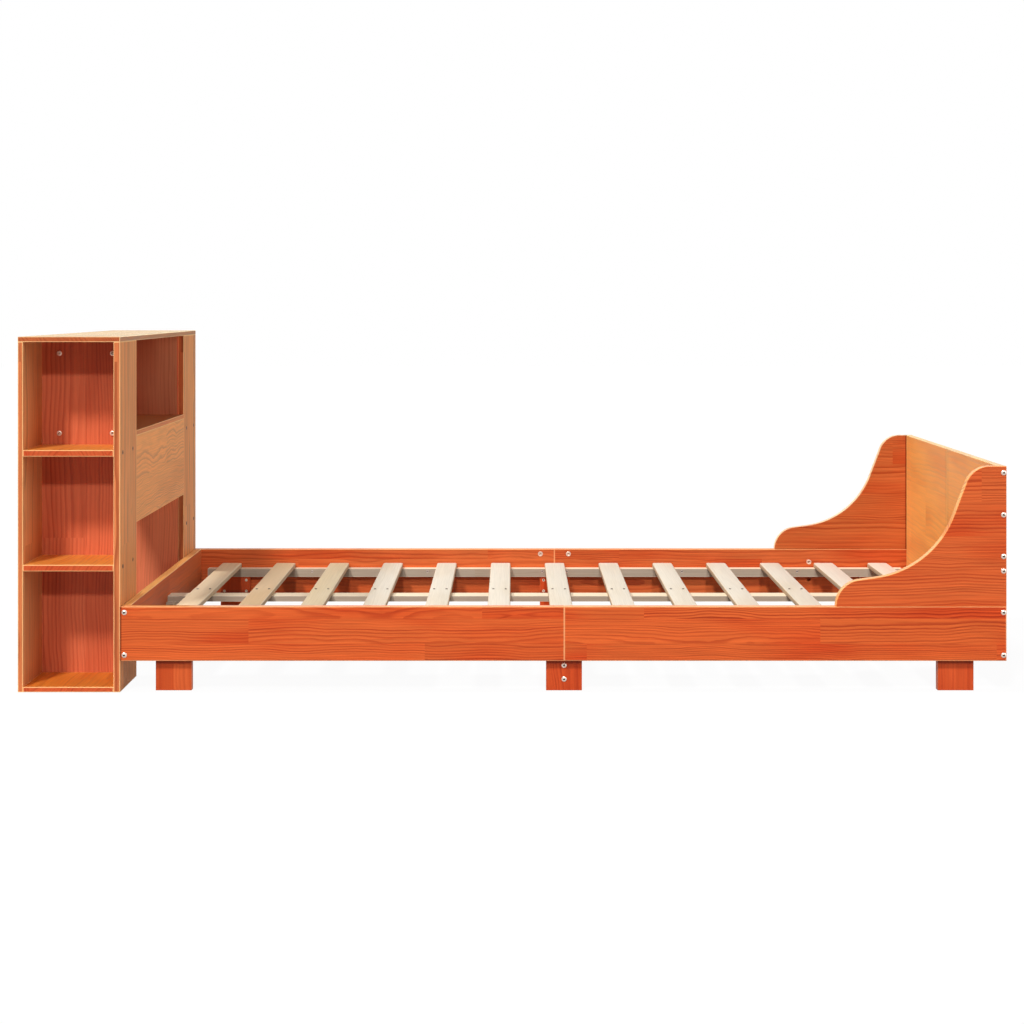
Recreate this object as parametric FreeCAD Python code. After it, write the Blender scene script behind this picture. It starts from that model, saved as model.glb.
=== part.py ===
import FreeCAD, Part
import math
import os

# Single bed frame with a bookcase headboard, in millimetres.
# +Z is up, +X runs from the headboard to the footboard, and the origin is on the floor
# under the middle of the whole bed. Left is the -Y side, as seen from the foot of the bed.

# Outer sizes
bed_width = 955.0
bookcase_depth = 237.0
bookcase_height = 824.0
rail_head_length = 1030.0
rail_foot_length = 1025.0
footboard_height = 524.0

# Bookcase boards
top_thickness = 12.0
wall_panel_thickness = 12.0
mattress_panel_thickness = 15.0
mattress_panel_width = 177.0
divider_thickness = 15.0
bottom_thickness = 12.0
shelf_thickness = 15.0
lower_shelf_height = 280.0
upper_shelf_height = 546.0
centre_panel_bottom = 372.0
niche_floor_height = 582.0
niche_floor_thickness = 12.0
cleat_thickness = 15.0

# Rails, legs and the parts that carry the slats
rail_thickness = 20.0
rail_height = 126.0
rail_floor_gap = 72.5
leg_width = 83.5
leg_thickness = 20.0
leg_height = 123.0
head_leg_distance = 120.5
foot_leg_distance = 112.6
ledger_depth = 25.0
ledger_height = 23.0
ledger_head_inset = 43.0
ledger_foot_inset = 37.0
beam_width = 50.0
beam_height = 14.0
cross_board_thickness = 18.0
cross_board_floor_gap = 12.0
beam_cleat_width = 90.0
beam_cleat_thickness = 20.0
beam_cleat_height = 58.0

# Slats
slat_count = 13
slat_width = 56.0
slat_thickness = 14.0
slat_foot_margin = 86.1
slat_end_gap = 4.0
slat_corner = 6.0
slat_arris = 3.5

# Footboard and its swan-curved wings
footboard_thickness = 18.0
wing_length = 395.0
wing_flat = 38.0
crown_radius = 58.0
steep_run = 83.0
shallow_run = 38.0
shallow_slope = 7.5
toe_radius = 62.0

# Eased arrises of the boards
board_arris = 1.0
rail_arris = 1.2
arris_wall_share = 0.35

# Fasteners are drawn with few flat sides, because there are over a hundred of them
head_sides = 10
shank_sides = 6
hole_clearance = 0.25

# Round-headed bolts
head_radius = 6.4
head_height = 3.0
head_top_share = 0.7
bolt_radius = 3.0
bolt_bite = 30.0
short_bite = 14.0
foot_bolt_inset = 6.8
rail_bolt_edge = 13.5
wing_bolt_height_shares = (0.254, 0.358, 0.654, 0.954)
leg_bolt_rail_gap = 14.0
leg_bolt_board_edge = 14.5
headboard_bolt_side = 88.0
headboard_bolt_edge = 31.0
divider_bolt_inset = 54.5
cleat_bolt_drop = 31.0

# Countersunk wood screws
screw_head_radius = 4.0
screw_radius = 2.0
screw_bite = 13.0
leg_screw_side_edge = 10.5
leg_screw_top_edge = 10.0
leg_screw_rail_edge = 9.5
ledger_screw_places = (35.0, 362.0, 690.0)
ledger_screw_drop = 7.5
slat_screw_side = 16.0
shelf_screw_front_edge = 30.0
shelf_screw_back_edge = 25.0

# Barrel nuts and studs at the rail joints and under the wings
barrel_radius = 7.0
barrel_depth = 14.0
barrel_joint_distance = 40.0
barrel_joint_drop = 14.0
stud_end = 6.0
wing_barrel_toe_inset = 98.0
wing_barrel_drop = 37.0
wing_stud_bite = 40.0
access_hole_drop = 87.0
access_hole_radius = 6.0

# Planes that several pieces share
overall_length = bookcase_depth + rail_head_length + rail_foot_length
wall_x = -overall_length / 2
foot_x = overall_length / 2
mattress_face_x = wall_x + bookcase_depth
joint_x = mattress_face_x + rail_head_length
outer_y = bed_width / 2
rail_inner_y = outer_y - rail_thickness
rail_mid_y = outer_y - rail_thickness / 2
niche_y = outer_y - mattress_panel_width
niche_floor_top_z = niche_floor_height + niche_floor_thickness
panel_top_z = bookcase_height - top_thickness
rail_top_z = rail_floor_gap + rail_height
ledger_top_z = leg_height + ledger_height
beam_bottom_z = ledger_top_z - beam_height
footboard_inner_x = foot_x - footboard_thickness
head_rail_inner_x = mattress_face_x + rail_thickness
wing_drop = footboard_height - rail_top_z
wing_barrel_x = foot_x - wing_length + wing_barrel_toe_inset

# The two sides of the bed
SIDES = (("left", -1), ("right", 1))


def vector(x, y, z):
    """Shorthand for a point or direction."""
    return FreeCAD.Vector(x, y, z)


def block(x_ends, y_ends, z_ends):
    """A square-edged board between the two ends of each span, given in either order."""
    spans = (x_ends, y_ends, z_ends)
    low = [min(span) for span in spans]
    size = [max(span) - min(span) for span in spans]
    return Part.makeBox(size[0], size[1], size[2], vector(low[0], low[1], low[2]))


def runs_along(edge, axis):
    """True for a straight edge that lies along one axis, 0 for X, 1 for Y, 2 for Z."""
    run = edge.Vertexes[-1].Point - edge.Vertexes[0].Point
    return math.isclose(abs(run[axis]), edge.Length, rel_tol=1e-6)


def eased(board, ease, axis):
    """Ease the four arrises of a board that run along one axis, as far as its wall allows."""
    box = board.BoundBox
    wall = min(box.XLength, box.YLength, box.ZLength)
    edges = [edge for edge in board.Edges if runs_along(edge, axis)]
    return board.makeChamfer(min(ease, wall * arris_wall_share), edges)


def board_along_x(x_ends, y_ends, z_ends, ease):
    """A board whose long arrises run along X."""
    return eased(block(x_ends, y_ends, z_ends), ease, 0)


def board_along_y(x_ends, y_ends, z_ends, ease):
    """A board whose long arrises run along Y."""
    return eased(block(x_ends, y_ends, z_ends), ease, 1)


def board_along_z(x_ends, y_ends, z_ends, ease):
    """A board whose long arrises run along Z."""
    return eased(block(x_ends, y_ends, z_ends), ease, 2)


def ring(radius, height, sides):
    """The corners of a regular polygon round the Z axis at a height, the first one twice."""
    angles = [2 * math.pi * index / sides for index in range(sides + 1)]
    return [vector(radius * math.cos(a), radius * math.sin(a), height) for a in angles]


def turned(tiers, sides):
    """A flat-sided solid round the Z axis, through tiers of (radius, height)."""
    rings = [ring(radius, height, sides) for radius, height in tiers]
    outlines = [rings[0], rings[-1]]
    for low, high in zip(rings, rings[1:]):
        for side in range(sides):
            outlines.append([low[side], low[side + 1], high[side + 1], high[side], low[side]])
    faces = [Part.Face(Part.makePolygon(outline)) for outline in outlines]
    solid = Part.makeSolid(Part.makeShell(faces))
    return solid


def placed(solid, seat, direction):
    """Move a solid made round the Z axis to a seat, with its axis along a direction."""
    solid.Placement = FreeCAD.Placement(seat, FreeCAD.Rotation(vector(0, 0, 1), direction))
    return solid


def rod(start, direction, length, radius, sides):
    """A straight bar of even thickness from a point along a direction."""
    return placed(turned([(radius, 0), (radius, length)], sides), start, direction)


def round_headed_bolt(seat, direction, length):
    """A bolt with a low domed head, whose shank goes from its seat along a direction."""
    head = turned([(head_radius * head_top_share, -head_height), (head_radius, 0)], head_sides)
    shank = turned([(bolt_radius, 0), (bolt_radius, length)], shank_sides)
    return placed(head.fuse(shank), seat, direction)


def bolt_bore(seat, direction, length):
    """The bore that a round-headed bolt goes through."""
    return rod(seat, direction, length, bolt_radius + hole_clearance, shank_sides)


def wood_screw(seat, direction, length, extra=0):
    """A screw whose countersunk head is flush with its seat, made thicker by extra."""
    cone = screw_head_radius - screw_radius
    tiers = [
        (screw_head_radius + extra, 0),
        (screw_radius + extra, cone),
        (screw_radius + extra, length),
    ]
    return placed(turned(tiers, shank_sides), seat, direction)


def screw_bore(seat, direction, length):
    """The countersunk bore that a wood screw sits in."""
    return wood_screw(seat, direction, length, hole_clearance)


def cut_where_met(piece, cutters):
    """Cut the cutters that reach a piece out of it, in one go."""
    near = [cutter for cutter in cutters if piece.BoundBox.intersect(cutter.BoundBox)]
    if not near:
        return piece
    return piece.cut(near).Solids[0]


def drilled(piece, bolts=(), screws=()):
    """Bore a piece for the bolts and screws that go into it, rows of (seat, way, length)."""
    bores = [bolt_bore(seat, way, length) for seat, way, length in bolts]
    bores += [screw_bore(seat, way, length) for seat, way, length in screws]
    return cut_where_met(piece, bores)


def foot_bolts(side):
    """Bolts through the wing and the side rail into the ends of the footboard."""
    inward = vector(0, -side, 0)
    x = foot_x - foot_bolt_inset
    heights = [rail_top_z + wing_drop * share for share in wing_bolt_height_shares]
    heights += [rail_top_z - rail_bolt_edge, rail_floor_gap + rail_bolt_edge]
    length = rail_thickness + bolt_bite
    return [(vector(x, side * outer_y, z), inward, length) for z in heights]


def head_bolts(side):
    """Bolts through the side rail into the ends of the head rail."""
    inward = vector(0, -side, 0)
    x = mattress_face_x + rail_thickness / 2
    heights = [rail_top_z - rail_bolt_edge, rail_floor_gap + rail_bolt_edge]
    length = rail_thickness + bolt_bite
    return [(vector(x, side * outer_y, z), inward, length) for z in heights]


def middle_leg_bolts(side):
    """Bolts through the middle leg, below the rail, into the ends of the cross board."""
    inward = vector(0, -side, 0)
    length = leg_thickness + bolt_bite
    heights = [rail_floor_gap - leg_bolt_rail_gap, cross_board_floor_gap + leg_bolt_board_edge]
    return [(vector(joint_x, side * rail_inner_y, z), inward, length) for z in heights]


def headboard_bolts(side):
    """Bolts from inside the lowest compartment through its panel into the head rail."""
    x = mattress_face_x - mattress_panel_thickness
    y = side * (outer_y - headboard_bolt_side)
    length = mattress_panel_thickness + short_bite
    heights = [rail_top_z - headboard_bolt_edge, rail_floor_gap + headboard_bolt_edge]
    return [(vector(x, y, z), vector(1, 0, 0), length) for z in heights]


def divider_bolts(side):
    """Bolts through the divider into the niche floor's end and the cleat that holds the top."""
    y = side * (niche_y + divider_thickness)
    floor_z = niche_floor_height + niche_floor_thickness / 2
    cleat_z = panel_top_z - cleat_bolt_drop
    return [
        (vector(x, y, z), vector(0, -side, 0), divider_thickness + short_bite)
        for x in (mattress_face_x - divider_bolt_inset, wall_x + divider_bolt_inset)
        for z in (floor_z, cleat_z)
    ]


def all_bolts(side):
    """Every round-headed bolt on one side of the bed."""
    rows = foot_bolts(side) + head_bolts(side) + middle_leg_bolts(side)
    return rows + headboard_bolts(side) + divider_bolts(side)


def leg_screws(side, centre_x):
    """Screws from a leg's inner face through the leg into the side rail."""
    y = side * (rail_inner_y - leg_thickness)
    aside = leg_width / 2 - leg_screw_side_edge
    return [
        (vector(x, y, z), vector(0, side, 0), leg_thickness + screw_bite)
        for x in (centre_x - aside, centre_x + aside)
        for z in (leg_height - leg_screw_top_edge, rail_floor_gap + leg_screw_rail_edge)
    ]


def ledger_screws(side):
    """Screws through the ledgers into the side rail, alike on both sides of the joint."""
    y = side * (rail_inner_y - ledger_depth)
    z = ledger_top_z - ledger_screw_drop
    return [
        (vector(joint_x + end * place, y, z), vector(0, side, 0), ledger_depth + screw_bite)
        for end in (-1, 1)
        for place in ledger_screw_places
    ]


def slat_screws(centre_x):
    """The two screws that hold a slat's middle down on the centre beam."""
    z = ledger_top_z + slat_thickness
    return [
        (vector(x, 0, z), vector(0, 0, -1), slat_thickness + screw_bite)
        for x in (centre_x - slat_screw_side, centre_x + slat_screw_side)
    ]


def shelf_screws(side):
    """Screws through both panels of a compartment stack into the ends of its shelves."""
    rows = []
    divider_face_y = niche_y + divider_thickness
    for shelf_z in (lower_shelf_height, upper_shelf_height):
        for off_centre in (outer_y - shelf_screw_front_edge, divider_face_y + shelf_screw_back_edge):
            y = side * off_centre
            z = shelf_z + shelf_thickness / 2
            rows.append((vector(mattress_face_x, y, z), vector(-1, 0, 0),
                         mattress_panel_thickness + screw_bite))
            rows.append((vector(wall_x, y, z), vector(1, 0, 0),
                         wall_panel_thickness + screw_bite))
    return rows


def joint_barrels(side, extra):
    """Barrel nuts let into the side rail each side of its joint, made thicker by extra."""
    z = rail_top_z - barrel_joint_drop
    return [
        rod(vector(joint_x + end * barrel_joint_distance, side * rail_inner_y, z),
            vector(0, side, 0), barrel_depth, barrel_radius + extra, head_sides)
        for end in (-1, 1)
    ]


def wing_barrel(side, extra):
    """The barrel nut in the side rail under the wing, made thicker by extra."""
    seat = vector(wing_barrel_x, side * rail_inner_y, rail_top_z - wing_barrel_drop)
    return rod(seat, vector(0, side, 0), barrel_depth, barrel_radius + extra, head_sides)


def joint_stud(side, extra):
    """The stud that pulls the two halves of a side rail together, made thicker by extra."""
    half = barrel_joint_distance + barrel_radius + stud_end
    start = vector(joint_x - half, side * rail_mid_y, rail_top_z - barrel_joint_drop)
    return rod(start, vector(1, 0, 0), 2 * half, bolt_radius + extra, shank_sides)


def wing_stud(side, extra):
    """The upright stud that holds the wing down on its rail, made thicker by extra."""
    low = rail_top_z - wing_barrel_drop - barrel_radius - stud_end
    start = vector(wing_barrel_x, side * rail_mid_y, low)
    length = rail_top_z + wing_stud_bite - low
    return rod(start, vector(0, 0, 1), length, bolt_radius + extra, shank_sides)


def headboard_top():
    """The board over the whole bookcase."""
    return board_along_y(
        (wall_x, mattress_face_x), (-outer_y, outer_y), (panel_top_z, bookcase_height), board_arris
    )


def mattress_side_panel(side):
    """The upright panel between a compartment stack and the mattress."""
    panel = board_along_z(
        (mattress_face_x - mattress_panel_thickness, mattress_face_x),
        (side * niche_y, side * outer_y),
        (0, panel_top_z),
        board_arris,
    )
    return drilled(panel, headboard_bolts(side), shelf_screws(side))


def wall_side_panel(side):
    """The upright panel that closes a compartment stack against the wall."""
    panel = board_along_z(
        (wall_x, wall_x + wall_panel_thickness),
        (side * niche_y, side * outer_y),
        (0, panel_top_z),
        board_arris,
    )
    return drilled(panel, screws=shelf_screws(side))


def compartment_x():
    """The clear span of the compartments between the wall-side and mattress-side panels."""
    return (wall_x + wall_panel_thickness, mattress_face_x - mattress_panel_thickness)


def compartment_y(side):
    """The span of the compartments from the open side to the divider."""
    return (side * (niche_y + divider_thickness), side * outer_y)


def divider(side):
    """The upright board between a compartment stack and the niche."""
    board = block(
        compartment_x(), (side * niche_y, side * (niche_y + divider_thickness)), (0, panel_top_z)
    )
    return drilled(board, divider_bolts(side))


def shelf(side, low_z, thickness):
    """A board between the two panels of a compartment stack, flush with its open side."""
    board = board_along_x(
        compartment_x(), compartment_y(side), (low_z, low_z + thickness), board_arris
    )
    return drilled(board, screws=shelf_screws(side))


def niche_floor():
    """The board that the niche stands on, between the dividers and over the full depth."""
    board = board_along_y(
        (wall_x, mattress_face_x),
        (-niche_y, niche_y),
        (niche_floor_height, niche_floor_top_z),
        board_arris,
    )
    return drilled(board, divider_bolts(-1) + divider_bolts(1))


def niche_back():
    """The board that closes the niche against the wall."""
    return block(
        (wall_x, wall_x + wall_panel_thickness),
        (-niche_y, niche_y),
        (niche_floor_top_z, panel_top_z),
    )


def centre_panel():
    """The panel under the niche, flush with the face towards the mattress."""
    return board_along_y(
        (mattress_face_x - mattress_panel_thickness, mattress_face_x),
        (-niche_y, niche_y),
        (centre_panel_bottom, niche_floor_height),
        board_arris,
    )


def top_cleats():
    """The two flat cleats that hold the top board, on the dividers' niche sides."""
    cleats = []
    for name, side in SIDES:
        cleat = block(
            compartment_x(),
            (side * (niche_y - cleat_thickness), side * niche_y),
            (niche_floor_top_z, panel_top_z),
        )
        cleats.append(drilled(cleat, divider_bolts(side)))
    return Part.makeCompound(cleats)


def head_rail():
    """The rail across the bed at the bookcase, between the side rails."""
    rail = board_along_y(
        (mattress_face_x, head_rail_inner_x),
        (-rail_inner_y, rail_inner_y),
        (rail_floor_gap, rail_top_z),
        rail_arris,
    )
    bolts = []
    for name, side in SIDES:
        bolts += head_bolts(side) + headboard_bolts(side)
    return drilled(rail, bolts)


def side_rail_half(side, start_x, end_x):
    """Half of a side rail, with the pockets and bores of its barrel nuts, studs and bolts."""
    rail = board_along_x(
        (start_x, end_x), (side * rail_inner_y, side * outer_y),
        (rail_floor_gap, rail_top_z), rail_arris,
    )
    access_hole = rod(
        vector(wing_barrel_x, side * rail_inner_y, rail_top_z - access_hole_drop),
        vector(0, side, 0), barrel_depth, access_hole_radius, head_sides,
    )
    pockets = joint_barrels(side, hole_clearance) + [wing_barrel(side, hole_clearance), access_hole]
    pockets += [joint_stud(side, hole_clearance), wing_stud(side, hole_clearance)]
    screws = ledger_screws(side)
    for place, centre_x in leg_centres():
        screws += leg_screws(side, centre_x)
    return drilled(cut_where_met(rail, pockets), head_bolts(side) + foot_bolts(side), screws)


def leg_centres():
    """Where the head, middle and foot legs stand along the bed."""
    return (
        ("head", mattress_face_x + head_leg_distance),
        ("middle", joint_x),
        ("foot", foot_x - foot_leg_distance),
    )


def leg(side, centre_x):
    """A block leg on the inner face of a side rail."""
    post = board_along_z(
        (centre_x - leg_width / 2, centre_x + leg_width / 2),
        (side * (rail_inner_y - leg_thickness), side * rail_inner_y),
        (0, leg_height),
        board_arris,
    )
    return drilled(post, middle_leg_bolts(side), leg_screws(side, centre_x))


def ledger(side, start_x, end_x):
    """Half of a ledger, the strip on the side rail that carries the ends of the slats."""
    strip = block(
        (start_x, end_x),
        (side * (rail_inner_y - ledger_depth), side * rail_inner_y),
        (leg_height, ledger_top_z),
    )
    return drilled(strip, screws=ledger_screws(side))


def slat_centres():
    """Where the slats lie along the bed, with the middle one over the joint."""
    last = footboard_inner_x - slat_foot_margin
    pitch = 2 * (last - joint_x) / (slat_count - 1)
    return [last - index * pitch for index in reversed(range(slat_count))]


def centre_beam(start_x, end_x):
    """Half of the beam that carries the middles of the slats."""
    beam = block((start_x, end_x), (-beam_width / 2, beam_width / 2), (beam_bottom_z, ledger_top_z))
    screws = []
    for centre_x in slat_centres():
        screws += slat_screws(centre_x)
    return drilled(beam, screws=screws)


def middle_cross_board():
    """The board on edge between the middle legs, under the centre beam's joint."""
    half = cross_board_thickness / 2
    leg_face_y = rail_inner_y - leg_thickness
    board = board_along_y(
        (joint_x - half, joint_x + half), (-leg_face_y, leg_face_y),
        (cross_board_floor_gap, beam_bottom_z), board_arris,
    )
    return drilled(board, middle_leg_bolts(-1) + middle_leg_bolts(1))


def beam_cleat(face_x, inward):
    """The cleat under an end of the centre beam, on the board that stands at face_x."""
    return block(
        (face_x, face_x + inward * beam_cleat_thickness),
        (-beam_cleat_width / 2, beam_cleat_width / 2),
        (beam_bottom_z - beam_cleat_height, beam_bottom_z),
    )


def slat(centre_x):
    """One slat with its long arrises eased and its corners taken off."""
    half_width = slat_width / 2
    half_length = rail_inner_y - slat_end_gap
    board = block(
        (centre_x - half_width, centre_x + half_width), (-half_length, half_length),
        (ledger_top_z, ledger_top_z + slat_thickness),
    )
    corners = [edge for edge in board.Edges if runs_along(edge, 2)]
    board = board.makeChamfer(min(slat_corner, half_width * arris_wall_share), corners)
    board = eased(board, slat_arris, 1)
    return drilled(board, screws=slat_screws(centre_x))


def footboard_half(side):
    """Half of the footboard, which is split down the middle of the bed."""
    board = board_along_y(
        (footboard_inner_x, foot_x), (0, side * rail_inner_y),
        (rail_floor_gap, footboard_height), board_arris,
    )
    return drilled(board, foot_bolts(side))


def sweep_for(steep):
    """The sweep's radius for a steep slope, and how far the curve then falls short of the rail."""
    shallow = math.radians(shallow_slope)
    run = wing_length - wing_flat
    run -= crown_radius * math.sin(steep) + steep_run * math.cos(steep)
    run -= shallow_run * math.cos(shallow) + toe_radius * (1 - math.sin(shallow))
    sweep_radius = run / (math.sin(steep) - math.sin(shallow))
    fall = crown_radius * (1 - math.cos(steep)) + steep_run * math.sin(steep)
    fall += sweep_radius * (math.cos(shallow) - math.cos(steep))
    fall += shallow_run * math.sin(shallow) + toe_radius * math.cos(shallow)
    return sweep_radius, wing_drop - fall


def swan_curve():
    """The steep slope and the sweep's radius with which the curve meets the wing's toe."""
    low = 2 * math.radians(shallow_slope)
    high = math.radians(90)
    for step in range(60):
        steep = (low + high) / 2
        sweep_radius, short = sweep_for(steep)
        if short > 0:
            low = steep
        else:
            high = steep
    return steep, sweep_radius


def wing_point(along, down, y):
    """A point of the wing's outline, measured from the top of its foot end."""
    return vector(foot_x - along, y, footboard_height - down)


def wing_arc(centre, radius, start_slope, end_slope, bulge, y):
    """An arc of the swan curve whose tangent turns between two slopes, bulging up or down."""
    points = []
    for slope in (start_slope, (start_slope + end_slope) / 2, end_slope):
        along = centre[0] + bulge * radius * math.sin(slope)
        down = centre[1] - bulge * radius * math.cos(slope)
        points.append(wing_point(along, down, y))
    return Part.Arc(points[0], points[1], points[2]).toShape()


def wing(side):
    """The swan-curved board that stands on the foot end of a side rail."""
    y = side * outer_y
    steep, sweep_radius = swan_curve()
    shallow = math.radians(shallow_slope)
    # The crown turns from level to steep, the sweep from steep to shallow, the toe to upright
    crown_centre = (wing_flat, crown_radius)
    crown_end = (
        crown_centre[0] + crown_radius * math.sin(steep),
        crown_centre[1] - crown_radius * math.cos(steep),
    )
    sweep_start = (
        crown_end[0] + steep_run * math.cos(steep),
        crown_end[1] + steep_run * math.sin(steep),
    )
    sweep_centre = (
        sweep_start[0] + sweep_radius * math.sin(steep),
        sweep_start[1] - sweep_radius * math.cos(steep),
    )
    sweep_end = (
        sweep_centre[0] - sweep_radius * math.sin(shallow),
        sweep_centre[1] + sweep_radius * math.cos(shallow),
    )
    toe_start = (
        sweep_end[0] + shallow_run * math.cos(shallow),
        sweep_end[1] + shallow_run * math.sin(shallow),
    )
    toe_centre = (wing_length - toe_radius, wing_drop)
    top_corner = wing_point(0, 0, y)
    low_corner = wing_point(0, wing_drop, y)
    toe_end = wing_point(wing_length, wing_drop, y)
    curve = [
        Part.makeLine(top_corner, wing_point(wing_flat, 0, y)),
        wing_arc(crown_centre, crown_radius, 0, steep, 1, y),
        Part.makeLine(wing_point(crown_end[0], crown_end[1], y),
                      wing_point(sweep_start[0], sweep_start[1], y)),
        wing_arc(sweep_centre, sweep_radius, steep, shallow, -1, y),
        Part.makeLine(wing_point(sweep_end[0], sweep_end[1], y),
                      wing_point(toe_start[0], toe_start[1], y)),
        wing_arc(toe_centre, toe_radius, shallow, math.radians(90), 1, y),
    ]
    outline = curve + [Part.makeLine(toe_end, low_corner), Part.makeLine(low_corner, top_corner)]
    board = Part.Face(Part.Wire(Part.__sortEdges__(outline))).extrude(
        vector(0, -side * rail_thickness, 0)
    )
    # Only the swan curve's arrises are eased: the foot end and the seam stay square
    arrises = [edge for edge in board.Edges if on_swan_curve(edge)]
    board = board.makeChamfer(min(rail_arris, rail_thickness * arris_wall_share), arrises)
    return drilled(cut_where_met(board, [wing_stud(side, hole_clearance)]), foot_bolts(side))


def on_swan_curve(edge):
    """True for the lengthwise edges of the swan curve on the wing's two faces."""
    box = edge.BoundBox
    flat_in_y = math.isclose(box.YMin, box.YMax, abs_tol=1e-6)
    foot_end = math.isclose(box.XMin, foot_x, abs_tol=1e-6)
    seam = math.isclose(box.ZMax, rail_top_z, abs_tol=1e-6)
    return flat_in_y and not foot_end and not seam


def frame_bolts():
    """All the round-headed bolts, as separate solids."""
    bolts = []
    for name, side in SIDES:
        bolts += [round_headed_bolt(seat, way, length) for seat, way, length in all_bolts(side)]
    return Part.makeCompound(bolts)


def screw_group(rows):
    """Wood screws as separate solids, from rows of (seat, way, length)."""
    return Part.makeCompound([wood_screw(seat, way, length) for seat, way, length in rows])


def rail_connectors():
    """The barrel nuts and studs of the rail joints and the wings, as separate solids."""
    pieces = []
    for name, side in SIDES:
        for barrels, stud in (
            (joint_barrels(side, 0), joint_stud(side, 0)),
            ([wing_barrel(side, 0)], wing_stud(side, 0)),
        ):
            pieces += [barrel.cut(stud) for barrel in barrels]
            pieces.append(stud)
    return Part.makeCompound(pieces)


def fasteners():
    """Every group of fasteners."""
    leg_rows = []
    ledger_rows = []
    shelf_rows = []
    slat_rows = []
    for name, side in SIDES:
        ledger_rows += ledger_screws(side)
        shelf_rows += shelf_screws(side)
        for place, centre_x in leg_centres():
            leg_rows += leg_screws(side, centre_x)
    for centre_x in slat_centres():
        slat_rows += slat_screws(centre_x)
    return {
        "frame_bolts": frame_bolts(),
        "rail_connectors": rail_connectors(),
        "leg_screws": screw_group(leg_rows),
        "ledger_screws": screw_group(ledger_rows),
        "shelf_screws": screw_group(shelf_rows),
        "slat_screws": screw_group(slat_rows),
    }


def bookcase():
    """Every board of the bookcase headboard."""
    pieces = {
        "headboard_top": headboard_top(),
        "niche_floor": niche_floor(),
        "niche_back": niche_back(),
        "headboard_centre_panel": centre_panel(),
        "top_cleats": top_cleats(),
    }
    for name, side in SIDES:
        pieces[f"{name}_mattress_side_panel"] = mattress_side_panel(side)
        pieces[f"{name}_wall_side_panel"] = wall_side_panel(side)
        pieces[f"{name}_divider"] = divider(side)
        pieces[f"{name}_bottom_board"] = shelf(side, 0, bottom_thickness)
        pieces[f"{name}_lower_shelf"] = shelf(side, lower_shelf_height, shelf_thickness)
        pieces[f"{name}_upper_shelf"] = shelf(side, upper_shelf_height, shelf_thickness)
    return pieces


def base():
    """The rails, legs and everything that carries the slats."""
    pieces = {
        "head_rail": head_rail(),
        "centre_beam_head_half": centre_beam(head_rail_inner_x, joint_x),
        "centre_beam_foot_half": centre_beam(joint_x, footboard_inner_x),
        "middle_cross_board": middle_cross_board(),
        "head_beam_cleat": beam_cleat(head_rail_inner_x, 1),
        "foot_beam_cleat": beam_cleat(footboard_inner_x, -1),
    }
    ledger_start = mattress_face_x + ledger_head_inset
    ledger_end = foot_x - ledger_foot_inset
    for name, side in SIDES:
        pieces[f"{name}_side_rail_head_half"] = side_rail_half(side, mattress_face_x, joint_x)
        pieces[f"{name}_side_rail_foot_half"] = side_rail_half(side, joint_x, foot_x)
        pieces[f"{name}_ledger_head_half"] = ledger(side, ledger_start, joint_x)
        pieces[f"{name}_ledger_foot_half"] = ledger(side, joint_x, ledger_end)
        for place, centre_x in leg_centres():
            pieces[f"{name}_{place}_leg"] = leg(side, centre_x)
    return pieces


def slats():
    """The slats, numbered from the head, with the middle one over the joint."""
    return {
        f"slat_{index + 1:02d}": slat(centre_x) for index, centre_x in enumerate(slat_centres())
    }


def footboard():
    """The footboard's halves and its wings."""
    pieces = {}
    for name, side in SIDES:
        pieces[f"{name}_footboard_half"] = footboard_half(side)
        pieces[f"{name}_wing"] = wing(side)
    return pieces


def main():
    """Build every piece and write one file for each."""
    os.makedirs("parts", exist_ok=True)
    pieces = {}
    for group in (bookcase(), base(), slats(), footboard(), fasteners()):
        pieces.update(group)
    for name, shape in pieces.items():
        shape.exportStep(os.path.join("parts", f"{name}.step"))
    print(len(pieces), "pieces written")


main()
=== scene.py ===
"""Looks of a single bed frame with a bookcase headboard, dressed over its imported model.

Sizes are in metres, or in millimetres where it is said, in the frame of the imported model: +X
runs from the headboard to the footboard, +Z is up, and the left side of the bed, at -Y, is the
one that the camera sees.
"""

import logging
import math
import random
from dataclasses import dataclass, replace
from enum import Enum

import bmesh
import bpy
from mathutils import Matrix, Vector


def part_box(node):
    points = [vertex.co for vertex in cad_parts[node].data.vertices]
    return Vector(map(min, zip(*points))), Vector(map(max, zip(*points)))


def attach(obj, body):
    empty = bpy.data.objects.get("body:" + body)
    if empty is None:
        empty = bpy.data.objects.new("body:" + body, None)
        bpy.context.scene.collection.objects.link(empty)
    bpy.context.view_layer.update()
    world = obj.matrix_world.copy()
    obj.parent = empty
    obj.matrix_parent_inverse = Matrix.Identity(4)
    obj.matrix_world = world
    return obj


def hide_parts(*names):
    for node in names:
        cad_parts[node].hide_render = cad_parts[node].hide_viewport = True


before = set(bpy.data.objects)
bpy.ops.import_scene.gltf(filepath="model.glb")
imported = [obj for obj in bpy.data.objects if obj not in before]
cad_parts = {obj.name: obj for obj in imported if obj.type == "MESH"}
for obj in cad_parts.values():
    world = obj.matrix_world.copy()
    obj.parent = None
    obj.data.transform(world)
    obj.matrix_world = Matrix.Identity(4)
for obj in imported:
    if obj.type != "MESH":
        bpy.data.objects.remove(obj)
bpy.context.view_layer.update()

LOG = logging.getLogger("bed_frame")
BODY = "root"
MILLIMETRE = 0.001
TOUCHING = 0.01 * MILLIMETRE
SMOOTH_ANGLE = math.radians(35)
Colour = tuple[float, float, float, float]
WHITE = (1.0, 1.0, 1.0, 1.0)

SCREEN_LEVELS = 255
STRAIGHT_END = 0.04045
STRAIGHT_SLOPE = 12.92
CURVE_OFFSET = 0.055
CURVE_POWER = 2.4


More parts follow.
